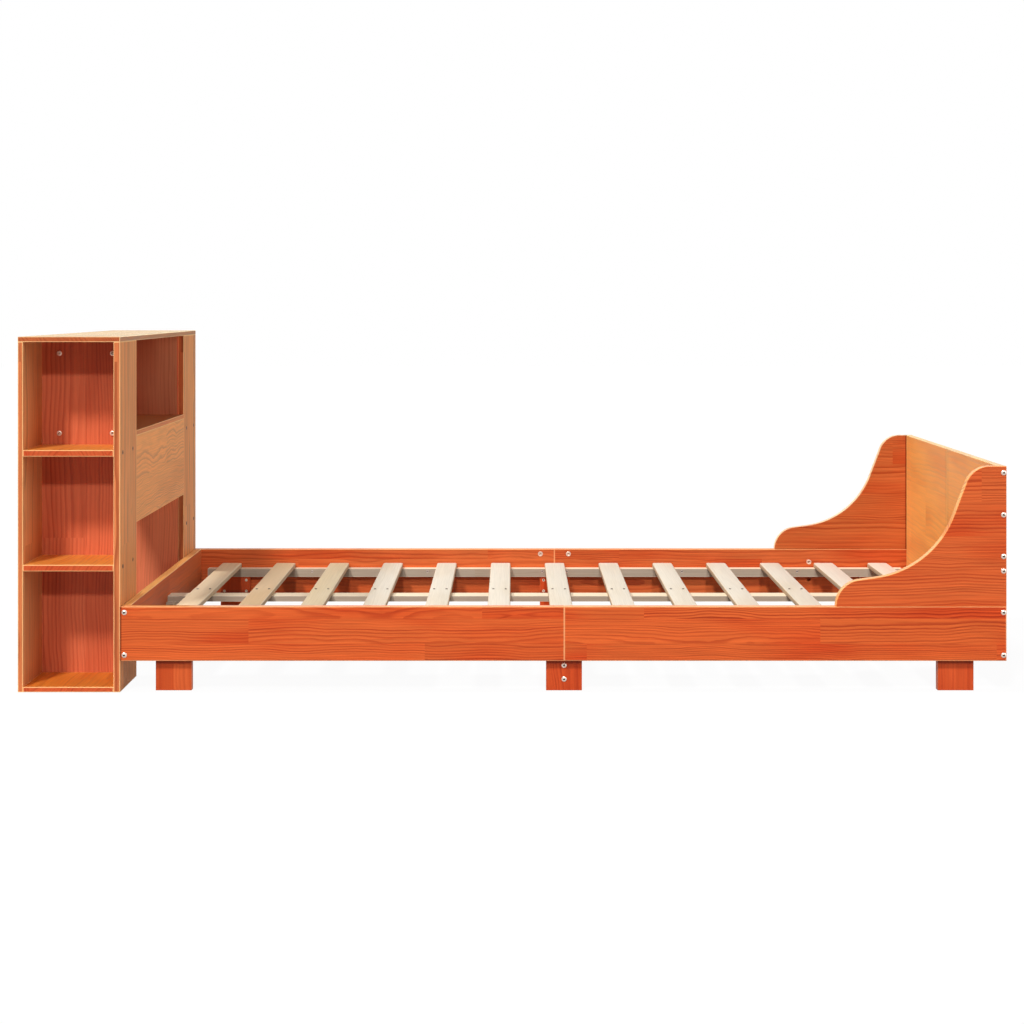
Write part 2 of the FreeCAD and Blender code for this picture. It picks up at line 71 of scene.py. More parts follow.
def tone(*screen: int) -> Colour:
    """Turn a colour as a screen shows it into the linear values that a shader takes.

    Args:
        *screen: Its red, green and blue, from 0 to 255.

    Returns:
        The linear red, green, blue and an alpha of one.
    """
    linear = []
    for share in (value / SCREEN_LEVELS for value in screen):
        curved = ((share + CURVE_OFFSET) / (1 + CURVE_OFFSET)) ** CURVE_POWER
        linear.append(share / STRAIGHT_SLOPE if share <= STRAIGHT_END else curved)
    return (linear[0], linear[1], linear[2], 1.0)


class Axis(Enum):
    """An axis of the frame, by its place in a vector."""

    X = 0
    Y = 1
    Z = 2

    @property
    def unit(self) -> Vector:
        """The direction of the axis."""
        return Vector(1.0 if place == self.value else 0.0 for place in range(3))


class Slot(Enum):
    """The names of the record's material slots, handed to new_piece with each new piece."""

    PALE_PINE = "pale_pine"
    ZINC_STEEL = "zinc_steel"


Socket = bpy.types.NodeSocket


class Signal:
    """What a socket gives. Arithmetic on it makes Math nodes."""

    def __init__(self, canvas: "Canvas", socket: Socket) -> None:
        """Keep the socket, and the tree that it is in."""
        self.canvas = canvas
        self.socket = socket

    def __add__(self, other: "Value") -> "Signal":
        """Add a number."""
        return self.canvas.math("ADD", self, other)

    def __sub__(self, other: "Value") -> "Signal":
        """Take a number off."""
        return self.canvas.math("SUBTRACT", self, other)

    def __rsub__(self, other: float) -> "Signal":
        """Take the signal off a number."""
        return self.canvas.math("SUBTRACT", other, self)

    def __mul__(self, other: "Value") -> "Signal":
        """Multiply by a number."""
        return self.canvas.math("MULTIPLY", self, other)

    def __truediv__(self, other: "Value") -> "Signal":
        """Divide by a number."""
        return self.canvas.math("DIVIDE", self, other)

    def __abs__(self) -> "Signal":
        """Drop the sign."""
        return self.canvas.math("ABSOLUTE", self)

    __radd__ = __add__


Value = float | tuple | Vector | Socket | Signal


class Canvas:
    """A node tree while it is drawn, with short calls that make nodes and join them."""

    def __init__(self, tree: bpy.types.NodeTree) -> None:
        """Take the tree that the nodes go into."""
        self.tree = tree

    @classmethod
    def cleared(cls, owner: bpy.types.Material | bpy.types.World) -> "Canvas":
        """Start with an empty node tree.

        Args:
            owner: The material or world that the tree belongs to.

        Returns:
            The canvas.
        """
        owner.use_nodes = True
        owner.node_tree.nodes.clear()
        return cls(owner.node_tree)

    def fill(self, socket: Socket, value: Value) -> None:
        """Join a signal to an input, or set the input to a plain value.

        Args:
            socket: The input.
            value: The signal or value.
        """
        source = value.socket if isinstance(value, Signal) else value
        if isinstance(source, Socket):
            self.tree.links.new(source, socket)
        else:
            socket.default_value = source

    def node(self, kind: str, inputs: dict[str | int, Value] | None = None,
             **settings: object) -> bpy.types.Node:
        """Make one node, with its settings, and fill or join its inputs.

        Args:
            kind: The node's type, as Blender names it.
            inputs: A value or signal for each named or numbered input.
            **settings: Values of the node's own properties.

        Returns:
            The node.
        """
        made = self.tree.nodes.new(kind)
        for name, setting in settings.items():
            setattr(made, name, setting)
        for key, value in (inputs or {}).items():
            self.fill(made.inputs[key], value)
        return made

    def outputs(self, node: bpy.types.Node) -> dict[str, Signal]:
        """Return a node's outputs by name."""
        return {socket.name: Signal(self, socket) for socket in node.outputs}

    def math(self, operation: str, *values: Value) -> Signal:
        """Join numbers by one operation, named as the Math node names it."""
        made = self.node("ShaderNodeMath", dict(enumerate(values)), operation=operation)
        return Signal(self, made.outputs[0])

    def vector(self, operation: str, *values: Value) -> Signal:
        """Join vectors by one operation, and return the vector that comes out."""
        made = self.node("ShaderNodeVectorMath", dict(enumerate(values)), operation=operation)
        return Signal(self, made.outputs["Vector"])

    def split(self, vector: Value) -> list[Signal]:
        """Return the three parts of a vector."""
        parts = self.node("ShaderNodeSeparateXYZ", {0: vector})
        return list(self.outputs(parts).values())

    def joined(self, *parts: Value) -> Signal:
        """Return a vector made of three numbers."""
        made = self.node("ShaderNodeCombineXYZ", dict(enumerate(parts)))
        return Signal(self, made.outputs[0])

    def noise(self, vector: Value, detail: float, roughness: float = 0.5,
              output: str = "Fac") -> Signal:
        """Soft noise with features of one unit.

        Args:
            vector: Where the noise is read.
            detail: How many finer layers are added.
            roughness: How strong the finer layers are.
            output: Fac for one number, Color for three.

        Returns:
            The noise, from 0 to 1.
        """
        made = self.node("ShaderNodeTexNoise", {
            "Vector": vector, "Scale": 1.0, "Detail": detail, "Roughness": roughness,
        })
        return Signal(self, made.outputs[output])

    def step(self, value: Value, low: Value, high: Value, start: float = 0.0,
             end: float = 1.0, kind: str = "SMOOTHSTEP") -> Signal:
        """A step from start at low to end at high.

        Args:
            value: The number that the step is read at.
            low: Where the step begins.
            high: Where it ends.
            start: The result up to low.
            end: The result from high on.
            kind: The step's shape, as the Map Range node names it.

        Returns:
            The result.
        """
        made = self.node("ShaderNodeMapRange", {
            "Value": value, "From Min": low, "From Max": high, "To Min": start, "To Max": end,
        }, interpolation_type=kind)
        return Signal(self, made.outputs["Result"])

    def blend(self, share: Value, first: Value, second: Value, kind: str = "MIX") -> Signal:
        """Mix two colours.

        Args:
            share: How much of the second colour is taken, from 0 to 1.
            first: The colour at 0.
            second: The colour at 1.
            kind: The way of mixing, as the Mix node names it.

        Returns:
            The mixed colour.
        """
        made = self.node("ShaderNodeMix", data_type="RGBA", blend_type=kind)
        inputs = {socket.identifier: socket for socket in made.inputs}
        for key, value in (("Factor_Float", share), ("A_Color", first), ("B_Color", second)):
            self.fill(inputs[key], value)
        results = {socket.identifier: socket for socket in made.outputs}
        return Signal(self, results["Result_Color"])

    def shaded(self, colour: Value, shade: Value, share: Value) -> Signal:
        """Multiply a share of a colour by another colour."""
        return self.blend(share, colour, self.blend(1.0, colour, shade, "MULTIPLY"))


class NodeGroup:
    """A shader node group that is built once and placed in each material that uses it."""

    NAME = "group"
    VECTORS: tuple[str, ...] = ()
    NUMBERS: tuple[str, ...] = ()
    RESULTS: tuple[str, ...] = ()

    def __init__(self) -> None:
        """Make the group with its sockets, and draw its nodes."""
        self.tree = bpy.data.node_groups.new(self.NAME, "ShaderNodeTree")
        for names, way, kind in ((self.VECTORS, "INPUT", "NodeSocketVector"),
                                 (self.NUMBERS, "INPUT", "NodeSocketFloat"),
                                 (self.RESULTS, "OUTPUT", "NodeSocketFloat")):
            for name in names:
                self.tree.interface.new_socket(name, in_out=way, socket_type=kind)
        canvas = Canvas(self.tree)
        given = canvas.outputs(canvas.node("NodeGroupInput"))
        canvas.node("NodeGroupOutput", self.draw(canvas, given))

    def draw(self, canvas: Canvas, given: dict[str, Signal]) -> dict[str, Signal]:
        """Draw the nodes, and return what goes to each output."""
        raise NotImplementedError

    def place(self, canvas: Canvas, cut: "Cut | None" = None,
              **values: Value) -> dict[str, Signal]:
        """Place the group in a material.

        Args:
            canvas: The material's tree.
            cut: Gives each input that isn't among the values, by the field of its name.
            **values: Values or signals of inputs, named with low dashes for spaces.

        Returns:
            The outputs of the placed group.
        """
        inputs = {}
        for name in self.VECTORS + self.NUMBERS:
            field = name.lower().replace(" ", "_")
            inputs[name] = values[field] if field in values else getattr(cut, field)
        return canvas.outputs(canvas.node("ShaderNodeGroup", inputs, node_tree=self.tree))


class PineFigure(NodeGroup):
    """The figure of a pine board that is glued up from finger-jointed staves.

    Each stave is cut from its own log, so its growth rings lie round a pith of its own. The
    pith wanders along the board, which draws the pointed arches of flat-sawn pine.
    """

    NAME = "pine_figure"
    VECTORS = ("Board",)
    NUMBERS = ("Seed", "Ring Width", "Pith Depth", "Pith Aside", "Wander", "Stave Width",
               "Stave Length", "Stave Shift", "Joint Shift", "Knots")
    RESULTS = ("Rings", "Fibre", "Blotch", "Knot", "Stave Tone")

    STAGGER = 0.43
    ASIDE_SPREAD = 0.7
    LEAST_SHARE = 0.6
    SHARE_SPREAD = 0.9
    STAVE_SPREAD = 31.0
    DEPTH_SPREAD = 17.0
    BOARD_SPREAD = 7.3
    PLACE_SPREAD = 3.7
    YEAR_SPREAD = 9.0
    DRIFT_PACE = 3.2
    SWAY = 2.6
    RIPPLE_PACE = (9.0, 26.0, 26.0)
    RIPPLE_SIZE = 0.60
    KNOT_PACE = (3.0, 11.0, 4.0)
    KNOT_REACH = 0.34
    KNOT_BULGE = 7 * MILLIMETRE
    KNOT_CORE = (0.012, 0.05)
    SEASON_PACE = 0.16
    SEASON_SIZE = 4.0
    LATEWOOD_RISE = (0.32, 0.84)
    LATEWOOD_STOP = (0.90, 1.0)
    LEAST_YEAR = 0.20
    FIBRE_PACE = (7.0, 330.0, 330.0)
    FIBRE_ROUGHNESS = 0.6
    BLOTCH_PACE = (2.4, 9.0, 9.0)

    def draw(self, canvas: Canvas, given: dict[str, Signal]) -> dict[str, Signal]:
        """Draw the staves, their rings, fibres, blotches and knots.

        Args:
            canvas: The group's tree.
            given: The group's inputs.

        Returns:
            What goes to each output.
        """
        along, across, through = canvas.split(given["Board"])
        seed, width, wander = given["Seed"], given["Stave Width"], given["Wander"]
        row = canvas.math("FLOOR", (across + given["Stave Shift"]) / width)
        run = (along + given["Joint Shift"]) / given["Stave Length"]
        piece = canvas.math("FLOOR", run + row * self.STAGGER)
        dice = canvas.node("ShaderNodeTexWhiteNoise", {
            "Vector": canvas.joined(row, piece, seed)}, noise_dimensions="3D")
        chance = canvas.split(dice.outputs["Color"])
        share = chance[1] * self.SHARE_SPREAD + self.LEAST_SHARE
        way, face = (canvas.math("GREATER_THAN", side, 0.5) * 2.0 - 1.0 for side in chance[1:])

        stave_middle = (row + 0.5) * width - given["Stave Shift"]
        aside = (given["Pith Aside"] + chance[0] * self.ASIDE_SPREAD) * way * width
        depth = given["Pith Depth"] * share
        own_place = chance[0] * self.STAVE_SPREAD + seed * self.BOARD_SPREAD
        slow = canvas.noise(canvas.joined(
            along * self.DRIFT_PACE, own_place, chance[1] * self.DEPTH_SPREAD), 2.0,
            output="Color")
        drift = canvas.split(canvas.vector("SUBTRACT", slow, (0.5, 0.5, 0.5)))
        sway = wander * self.SWAY
        from_pith = (across - stave_middle - aside + drift[0] * sway,
                     through - face * depth + drift[1] * sway)
        squares = [canvas.math("POWER", abs(part), 2.0) for part in from_pith]
        radius = canvas.math("SQRT", squares[0] + squares[1])

        place = canvas.vector("ADD", given["Board"], canvas.joined(
            seed * self.PLACE_SPREAD, chance[0], chance[1]))
        ripple = canvas.noise(canvas.vector("MULTIPLY", place, self.RIPPLE_PACE), 3.0)
        rippled = radius + (ripple - 0.5) * (wander * self.RIPPLE_SIZE)
        cells = canvas.node("ShaderNodeTexVoronoi", {
            "Vector": canvas.vector("MULTIPLY", place, self.KNOT_PACE), "Scale": 1.0},
            feature="F1")
        here = canvas.math("LESS_THAN", canvas.split(cells.outputs["Color"])[0], given["Knots"])
        away = cells.outputs["Distance"]
        bulge = here * canvas.step(away, 0.0, self.KNOT_REACH, 1.0, 0.0) * self.KNOT_BULGE
        knot = here * canvas.step(away, *self.KNOT_CORE, 1.0, 0.0)

        even_ring = (rippled + bulge) / (given["Ring Width"] * share)
        seasons = canvas.noise(canvas.joined(even_ring * self.SEASON_PACE, own_place, 0.0), 1.0)
        ring = even_ring + (seasons - 0.5) * self.SEASON_SIZE
        year = canvas.node("ShaderNodeTexWhiteNoise", {
            "W": canvas.math("FLOOR", ring) + seed * self.YEAR_SPREAD}, noise_dimensions="1D")
        strength = canvas.outputs(year)["Value"] * (1.0 - self.LEAST_YEAR) + self.LEAST_YEAR
        growth = canvas.math("FRACT", ring)
        rings = (canvas.step(growth, *self.LATEWOOD_RISE)
                 * canvas.step(growth, *self.LATEWOOD_STOP, 1.0, 0.0) * strength)

        fibre = canvas.noise(canvas.vector("MULTIPLY", place, self.FIBRE_PACE), 3.0,
                             self.FIBRE_ROUGHNESS)
        blotch = canvas.noise(canvas.vector("MULTIPLY", place, self.BLOTCH_PACE), 2.0)
        return {"Rings": rings, "Fibre": fibre, "Blotch": blotch, "Knot": knot,
                "Stave Tone": chance[2]}


class BoardFaces(NodeGroup):
    """Tells the broad faces of a board from its edges, and finds its arrises for wear and painted
    light.
    """

    NAME = "board_faces"
    VECTORS = ("Through", "Place", "Board", "Half Size")
    NUMBERS = ("Rim Width", "Curved")
    RESULTS = ("Broad", "Arris", "Upward")

    BROAD_RISE = (0.6, 0.95)
    UPWARD_RISE = (0.45, 0.8)
    SQUARE_RISE = (0.80, 0.94)
    CURVE_RISE = (0.25, 0.45)
    RIM_START = 0.5
    WEAR_AND_LIGHT_PACE = (14.0, 14.0, 14.0)
    WEAR_AND_LIGHT_RISE = (0.15, 0.6)
    LEAST_WEAR_AND_LIGHT = 0.55

    def draw(self, canvas: Canvas, given: dict[str, Signal]) -> dict[str, Signal]:
        """Draw the masks from the direction that each facet faces.

        Args:
            canvas: The group's tree.
            given: The group's inputs.

        Returns:
            What goes to each output.
        """
        normal = canvas.node("ShaderNodeNewGeometry").outputs["True Normal"]
        facing = canvas.node("ShaderNodeVectorMath", {0: normal, 1: given["Through"]},
                             operation="DOT_PRODUCT")
        broad = canvas.math("ABSOLUTE", facing.outputs["Value"])
        upward = canvas.step(canvas.split(normal)[2], *self.UPWARD_RISE)
        x, y, z = canvas.split(canvas.vector("ABSOLUTE", normal))
        squarest = canvas.math("MAXIMUM", x, canvas.math("MAXIMUM", y, z))
        flat = canvas.step(squarest, *self.SQUARE_RISE, 1.0, 0.0) * (1.0 - given["Curved"])
        bent = (canvas.step(broad, *self.CURVE_RISE)
                * canvas.step(broad, *self.SQUARE_RISE, 1.0, 0.0) * given["Curved"])

        first, second, third = canvas.split(canvas.vector(
            "SUBTRACT", given["Half Size"], canvas.vector("ABSOLUTE", given["Board"])))
        to_edge = canvas.math("MAXIMUM", canvas.math("MINIMUM", first, second), canvas.math(
            "MINIMUM", canvas.math("MAXIMUM", first, second), third))
        width = given["Rim Width"]
        rim = canvas.step(to_edge, width * self.RIM_START, width, 1.0, 0.0, "LINEAR")
        wear_and_light = canvas.noise(canvas.vector("MULTIPLY", given["Place"], self.WEAR_AND_LIGHT_PACE), 3.0)
        arris = (canvas.math("MAXIMUM", rim, flat + bent)
                 * canvas.step(wear_and_light, *self.WEAR_AND_LIGHT_RISE, self.LEAST_WEAR_AND_LIGHT, 1.0))
        return {"Broad": canvas.step(broad, *self.BROAD_RISE), "Arris": arris, "Upward": upward}


class MetalMarks(NodeGroup):
    """The faint cloud and fine scratches of plated steel."""

    NAME = "metal_marks"
    VECTORS = ("Place",)
    RESULTS = ("Cloud", "Scratch")
    CLOUD_PACE = (220.0, 220.0, 220.0)
    SCRATCH_PACE = (900.0, 900.0, 4000.0)
    SCRATCH_ROUGHNESS = 0.7

    def draw(self, canvas: Canvas, given: dict[str, Signal]) -> dict[str, Signal]:
        """Draw the cloud and the scratches.

        Args:
            canvas: The group's tree.
            given: The group's inputs.

        Returns:
            What goes to each output.
        """
        cloud, scratch = (canvas.vector("MULTIPLY", given["Place"], pace)
                          for pace in (self.CLOUD_PACE, self.SCRATCH_PACE))
        return {"Cloud": canvas.noise(cloud, 2.0),
                "Scratch": canvas.noise(scratch, 2.0, self.SCRATCH_ROUGHNESS)}


FAR_OFF = 9.0


@dataclass(frozen=True)
class Cut:
    """How a board is cut from its logs: its directions, its staves and its share of knots."""

    along: Axis
    across: Axis
    through: Axis
    middle: tuple[float, float, float]
    half_size: tuple[float, float, float]
    seed: float
    stave_width: float = 0.062
    stave_length: float = 0.62
    stave_shift: float = 0.0
    joint_shift: float = 0.0
    ring_width: float = 0.0036
    pith_depth: float = 0.05
    pith_aside: float = 0.6
    wander: float = 0.016
    knots: float = 0.12
    rim_width: float = 1.6 * MILLIMETRE
    curved: float = 0.0
    # The last four fields lay a darker band across the grain: painted shade where another board
    # meets or covers this one, and a darker joint between the footboard's halves.
    seam: float = FAR_OFF
    seam_width: float = 5 * MILLIMETRE
    seam_core: float = 0.4
    seam_shade: float = 0.0

    @classmethod
    def of_node(cls, node: str, seed: float, along: Axis | None = None,
                **details: float) -> "Cut":
        """Read a board's directions from its box: the grain runs along the longest side.

        Args:
            node: The name of the board's CAD node.
            seed: A number that no other board has.
            along: The direction of the grain, where it isn't the longest side.
            **details: Any of the other fields.

        Returns:
            The cut.
        """
        low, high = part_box(node)
        order = sorted(Axis, key=lambda axis: high[axis.value] - low[axis.value])
        through = order[0]
        grain = along or order[2]
        across = next(axis for axis in Axis if axis not in (through, grain))
        middle = (low + high) / 2
        half = (high - low) / 2
        half_size = tuple(half[axis.value] for axis in (grain, across, through))
        return cls(grain, across, through, tuple(middle), half_size, seed, **details)

    def board_place(self, canvas: Canvas) -> tuple[Socket, Signal]:
        """Draw a board's own coordinates.

        Args:
            canvas: The material's tree.

        Returns:
            The place in the frame, and the place along, across and through the board.
        """
        place = canvas.node("ShaderNodeTexCoord").outputs["Object"]
        shift = tuple(-value for value in self.middle)
        centred = canvas.node("ShaderNodeMapping", {"Vector": place, "Location": shift})
        parts = canvas.split(centred.outputs["Vector"])
        order = (self.along, self.across, self.through)
        return place, canvas.joined(*(parts[axis.value] for axis in order))

    def seam_mask(self, canvas: Canvas, board: Signal) -> Signal:
        """Draw a band of painted shade across the grain, where another board meets the face.

        Args:
            canvas: The material's tree.
            board: The place along, across and through the board.

        Returns:
            The strength of the band, from 0 to 1: painted shade, and on the footboard a darker
                joint.
        """
        place = self.seam - self.middle[self.along.value]
        return canvas.step(abs(canvas.split(board)[0] - place), self.seam_core * self.seam_width,
                           self.seam_width, self.seam_shade, 0.0)


@dataclass(frozen=True)
class PineFinish:
    """A finish of pine boards: the colours of its wood, how strong they are, and its gloss."""

    name: str
    face: Colour
    edge: Colour
    latewood: Colour
    heart: Colour
    knot: Colour
    arris: Colour
    figure: float = 0.6
    fibre: float = 0.10
    fibre_gain: float = 4.0
    blotch: float = 0.5
    blotch_start: float = 0.42
    blotch_end: float = 0.68
    stave: float = 0.10
    arris_wear_and_painted_light: float = 0.6
    roughness: float = 0.42
    roughness_spread: float = 0.10
    top_polish: float = 0.0
    specular: float = 0.2
    sheen: float = 0.0
    sheen_tint: Colour = WHITE
    sheen_roughness: float = 0.5
    relief: float = 0.12
    fibre_relief: float = 0.7
    ring_relief: float = 0.5

    def material(self, cut: Cut, figure: PineFigure, faces: BoardFaces,
                 name: str) -> bpy.types.Material:
        """Make the material of one board.

        Args:
            cut: How the board is cut.
            figure: The group that draws the figure of pine.
            faces: The group that finds faces and arrises.
            name: The board's name.

        Returns:
            The material.
        """
        made = bpy.data.materials.new(f"{self.name}_{name}")
        canvas = Canvas.cleared(made)
        place, board = cut.board_place(canvas)
        grain = figure.place(canvas, cut, board=board)
        sides = faces.place(canvas, cut, through=cut.through.unit, place=place, board=board)
        height = grain["Fibre"] * self.fibre_relief - grain["Rings"] * self.ring_relief
        bump = canvas.node("ShaderNodeBump", {
            "Strength": self.relief, "Distance": MILLIMETRE, "Height": height})
        shader = canvas.node("ShaderNodeBsdfPrincipled", {
            "Base Color": self.draw_colour(canvas, grain, sides, cut.seam_mask(canvas, board)),
            "Roughness": (self.roughness - sides["Upward"] * self.top_polish
                          + (grain["Fibre"] - grain["Rings"]) * self.roughness_spread),
            "Normal": bump.outputs["Normal"], "Specular IOR Level": self.specular,
            "Sheen Weight": self.sheen, "Sheen Tint": self.sheen_tint,
            "Sheen Roughness": self.sheen_roughness,
        })
        canvas.node("ShaderNodeOutputMaterial", {"Surface": shader.outputs[0]})
        return made

    def draw_colour(self, canvas: Canvas, grain: dict[str, Signal], sides: dict[str, Signal],
                    seam: Signal) -> Signal:
        """Draw the colour of the wood.

        Args:
            canvas: The material's tree.
            grain: The outputs of the figure of pine.
            sides: The outputs of the faces and arrises.
            seam: How strongly the band darkens the wood, as painted shade and as the footboard's
                darker joint.

        Returns:
            The colour.
        """
        # Edges take the edge tone: partly the wood's own, partly painted light and shade, paler on
        # lit top edges and darker on the shaded sides of slats.
        wood = canvas.blend(sides["Broad"], self.edge, self.face)
        patch = canvas.step(grain["Blotch"], self.blotch_start, self.blotch_end, 0.0, self.blotch)
        wood = canvas.shaded(wood, self.heart, patch)
        wood = canvas.shaded(wood, self.latewood, grain["Rings"] * self.figure)
        streak = (1.0 + (grain["Stave Tone"] - 0.5) * self.stave
                  + (grain["Fibre"] - 0.5) * (self.fibre * self.fibre_gain))
        wood = canvas.blend(1.0, wood, canvas.joined(streak, streak, streak), "MULTIPLY")
        wood = canvas.blend(grain["Knot"], wood, self.knot)
        # The arris colour is partly wear and partly painted light, held back where the band lies.
        wood = canvas.blend(sides["Arris"] * self.arris_wear_and_painted_light * (1.0 - seam), wood, self.arris)
        # The band: painted shade where boards meet or cover, and a darker joint on the footboard.
        return canvas.shaded(wood, SHADE_AND_JOINT_TINT, seam)


# Tint of the band: painted shade where boards meet or cover, and the footboard's darker joint.
SHADE_AND_JOINT_TINT = (0.44, 0.36, 0.24, 1.0)
LATEWOOD = (0.59, 0.31, 0.20, 1.0)
HEARTWOOD = (0.92, 0.60, 0.44, 1.0)
KNOT = tone(104, 36, 16)
# Arris colours are partly wear and partly painted light: paler where lit edges catch the light,
# and a dark line of painted shade on the right wing.
ARRIS = tone(248, 184, 126)

RAIL_WAX = PineFinish(
    "rail_wax", face=tone(212, 95, 41), edge=tone(236, 156, 92),
    latewood=LATEWOOD, heart=HEARTWOOD, knot=KNOT, arris=ARRIS, figure=0.95, blotch=0.9,
    stave=0.12, fibre=0.20, top_polish=0.16)
FOOT_RAIL_WAX = replace(
    RAIL_WAX, name="foot_rail_wax", face=tone(211, 94, 40), latewood=(0.50, 0.24, 0.15, 1.0),
    heart=(0.90, 0.50, 0.34, 1.0), figure=1.0)
# A darker, duller copy of the rail wood: painted shade on the far rail halves.
RIGHT_RAIL_PAINTED_SHADE = replace(
    RAIL_WAX, name="right_rail_painted_shade", face=tone(202, 98, 48), figure=0.7)
WING_WAX = replace(
    RAIL_WAX, name="wing_wax", face=tone(210, 96, 44), edge=tone(246, 186, 112),
    arris=tone(226, 140, 76), stave=0.06, figure=0.75, arris_wear_and_painted_light=0.45)
# A darker copy of the wing wood: painted shade on the far wing, with a paler edge as painted light
# on its top and a dark arris line of painted shade.
RIGHT_WING_PAINTED_SHADE = replace(
    WING_WAX, name="right_wing_painted_shade", face=tone(193, 97, 46), edge=tone(250, 210, 158),
    arris=tone(150, 72, 32), arris_wear_and_painted_light=0.8)
LEG_WAX = PineFinish(
    "leg_wax", face=tone(204, 84, 38), edge=tone(226, 110, 56),
    latewood=LATEWOOD, heart=(0.80, 0.60, 0.46, 1.0), knot=KNOT, arris=tone(206, 108, 58),
    figure=0.35, blotch=1.0, arris_wear_and_painted_light=0.3)
MIDDLE_LEG_WAX = replace(LEG_WAX, name="middle_leg_wax", face=tone(197, 74, 29), figure=0.6)
HEAD_LEG_WAX = replace(LEG_WAX, name="head_leg_wax", face=tone(210, 93, 43))
PANEL_WAX = PineFinish(
    "panel_wax", face=tone(238, 138, 72), edge=tone(210, 116, 66),
    latewood=(0.50, 0.32, 0.24, 1.0), heart=(0.80, 0.62, 0.50, 1.0), knot=tone(110, 64, 34),
    arris=tone(254, 204, 140), figure=1.0, blotch=0.8, fibre=0.22, arris_wear_and_painted_light=0.85,
    roughness=0.55, sheen=0.5, sheen_tint=(1.0, 1.0, 0.5, 1.0))
WALL_PANEL_WAX = replace(PANEL_WAX, name="wall_panel_wax", face=tone(224, 141, 86))
CENTRE_PANEL_WAX = replace(
    PANEL_WAX, name="centre_panel_wax", face=tone(250, 154, 84),
    latewood=(0.60, 0.40, 0.30, 1.0), figure=0.9, fibre=0.20)
TOP_WAX = replace(
    PANEL_WAX, name="top_wax", face=tone(222, 150, 86), edge=tone(186, 92, 42),
    latewood=(0.74, 0.56, 0.44, 1.0), roughness=0.50, top_polish=0.28, specular=0.25,
    sheen=0.6, sheen_tint=(1.0, 1.0, 0.6, 1.0))
HEAD_RAIL_WAX = replace(
    PANEL_WAX, name="head_rail_wax", face=tone(199, 84, 30), edge=tone(244, 164, 84),
    knot=tone(70, 30, 16), arris_wear_and_painted_light=0.6, sheen=0.15)
SHELF_WAX = PineFinish(
    "shelf_wax", face=tone(234, 150, 66), edge=tone(206, 88, 44),
    latewood=(0.72, 0.52, 0.40, 1.0), heart=HEARTWOOD, knot=KNOT, arris=tone(254, 200, 136),
    figure=0.8, blotch=0.6, arris_wear_and_painted_light=0.8)
BOTTOM_WAX = replace(
    SHELF_WAX, name="bottom_wax", face=tone(216, 124, 44), latewood=(0.60, 0.42, 0.32, 1.0))
# A darker copy of the shelf wood: painted shade on the niche floor under the top.
NICHE_FLOOR_PAINTED_SHADE = replace(
    SHELF_WAX, name="niche_floor_painted_shade", face=tone(168, 96, 48), edge=tone(208, 128, 68),
    roughness=0.55)
DIVIDER_WAX = PineFinish(
    "divider_wax", face=tone(208, 106, 68), edge=tone(216, 104, 60),
    latewood=(0.66, 0.44, 0.38, 1.0), heart=(0.74, 0.56, 0.48, 1.0), knot=KNOT,
    arris=tone(236, 150, 106), figure=0.7, blotch=0.7)
NICHE_WAX = replace(
    DIVIDER_WAX, name="niche_wax", face=tone(206, 84, 44), edge=tone(232, 150, 110),
    figure=0.45)
# A lighter copy of the niche wood for the right divider: painted light on the part seen under the
# centre panel.
RIGHT_DIVIDER_PAINTED_LIGHT = replace(NICHE_WAX, name="right_divider_painted_light", face=tone(250, 142, 98))
FOOTBOARD_WAX = PineFinish(
    "footboard_wax", face=tone(236, 124, 52), edge=tone(244, 190, 122),
    latewood=(0.66, 0.44, 0.30, 1.0), heart=(0.86, 0.58, 0.38, 1.0), knot=tone(150, 78, 36),
    arris=tone(250, 204, 140), figure=0.5, blotch=1.0, top_polish=0.2, arris_wear_and_painted_light=0.4,
    sheen=0.32, sheen_tint=(1.0, 1.0, 0.32, 1.0))
SLAT_PINE = PineFinish(
    "slat_pine", face=tone(213, 204, 188), edge=tone(184, 160, 130),
    latewood=(0.84, 0.76, 0.66, 1.0), heart=(0.93, 0.88, 0.80, 1.0), knot=tone(160, 120, 82),
    arris=tone(238, 224, 198), figure=0.35, blotch=0.7, stave=0.06, fibre=0.08,
    arris_wear_and_painted_light=0.6, roughness=0.62, specular=0.25)
# The three slats by the headboard get warmer, browner copies of the pine: painted warm shade from
# the headboard and its orange bounce.
FIRST_SLAT_PAINTED_WARM_SHADE = replace(SLAT_PINE, name="first_slat_painted_warm_shade", face=tone(230, 208, 174))
SECOND_SLAT_PAINTED_WARM_SHADE = replace(SLAT_PINE, name="second_slat_painted_warm_shade", face=tone(217, 190, 152))
THIRD_SLAT_PAINTED_WARM_SHADE = replace(SLAT_PINE, name="third_slat_painted_warm_shade", face=tone(222, 206, 174))
BEARER_PINE = replace(
    SLAT_PINE, name="bearer_pine", face=tone(232, 214, 186), edge=tone(171, 154, 136),
    blotch=0.5, fibre=0.07, arris_wear_and_painted_light=0.4)


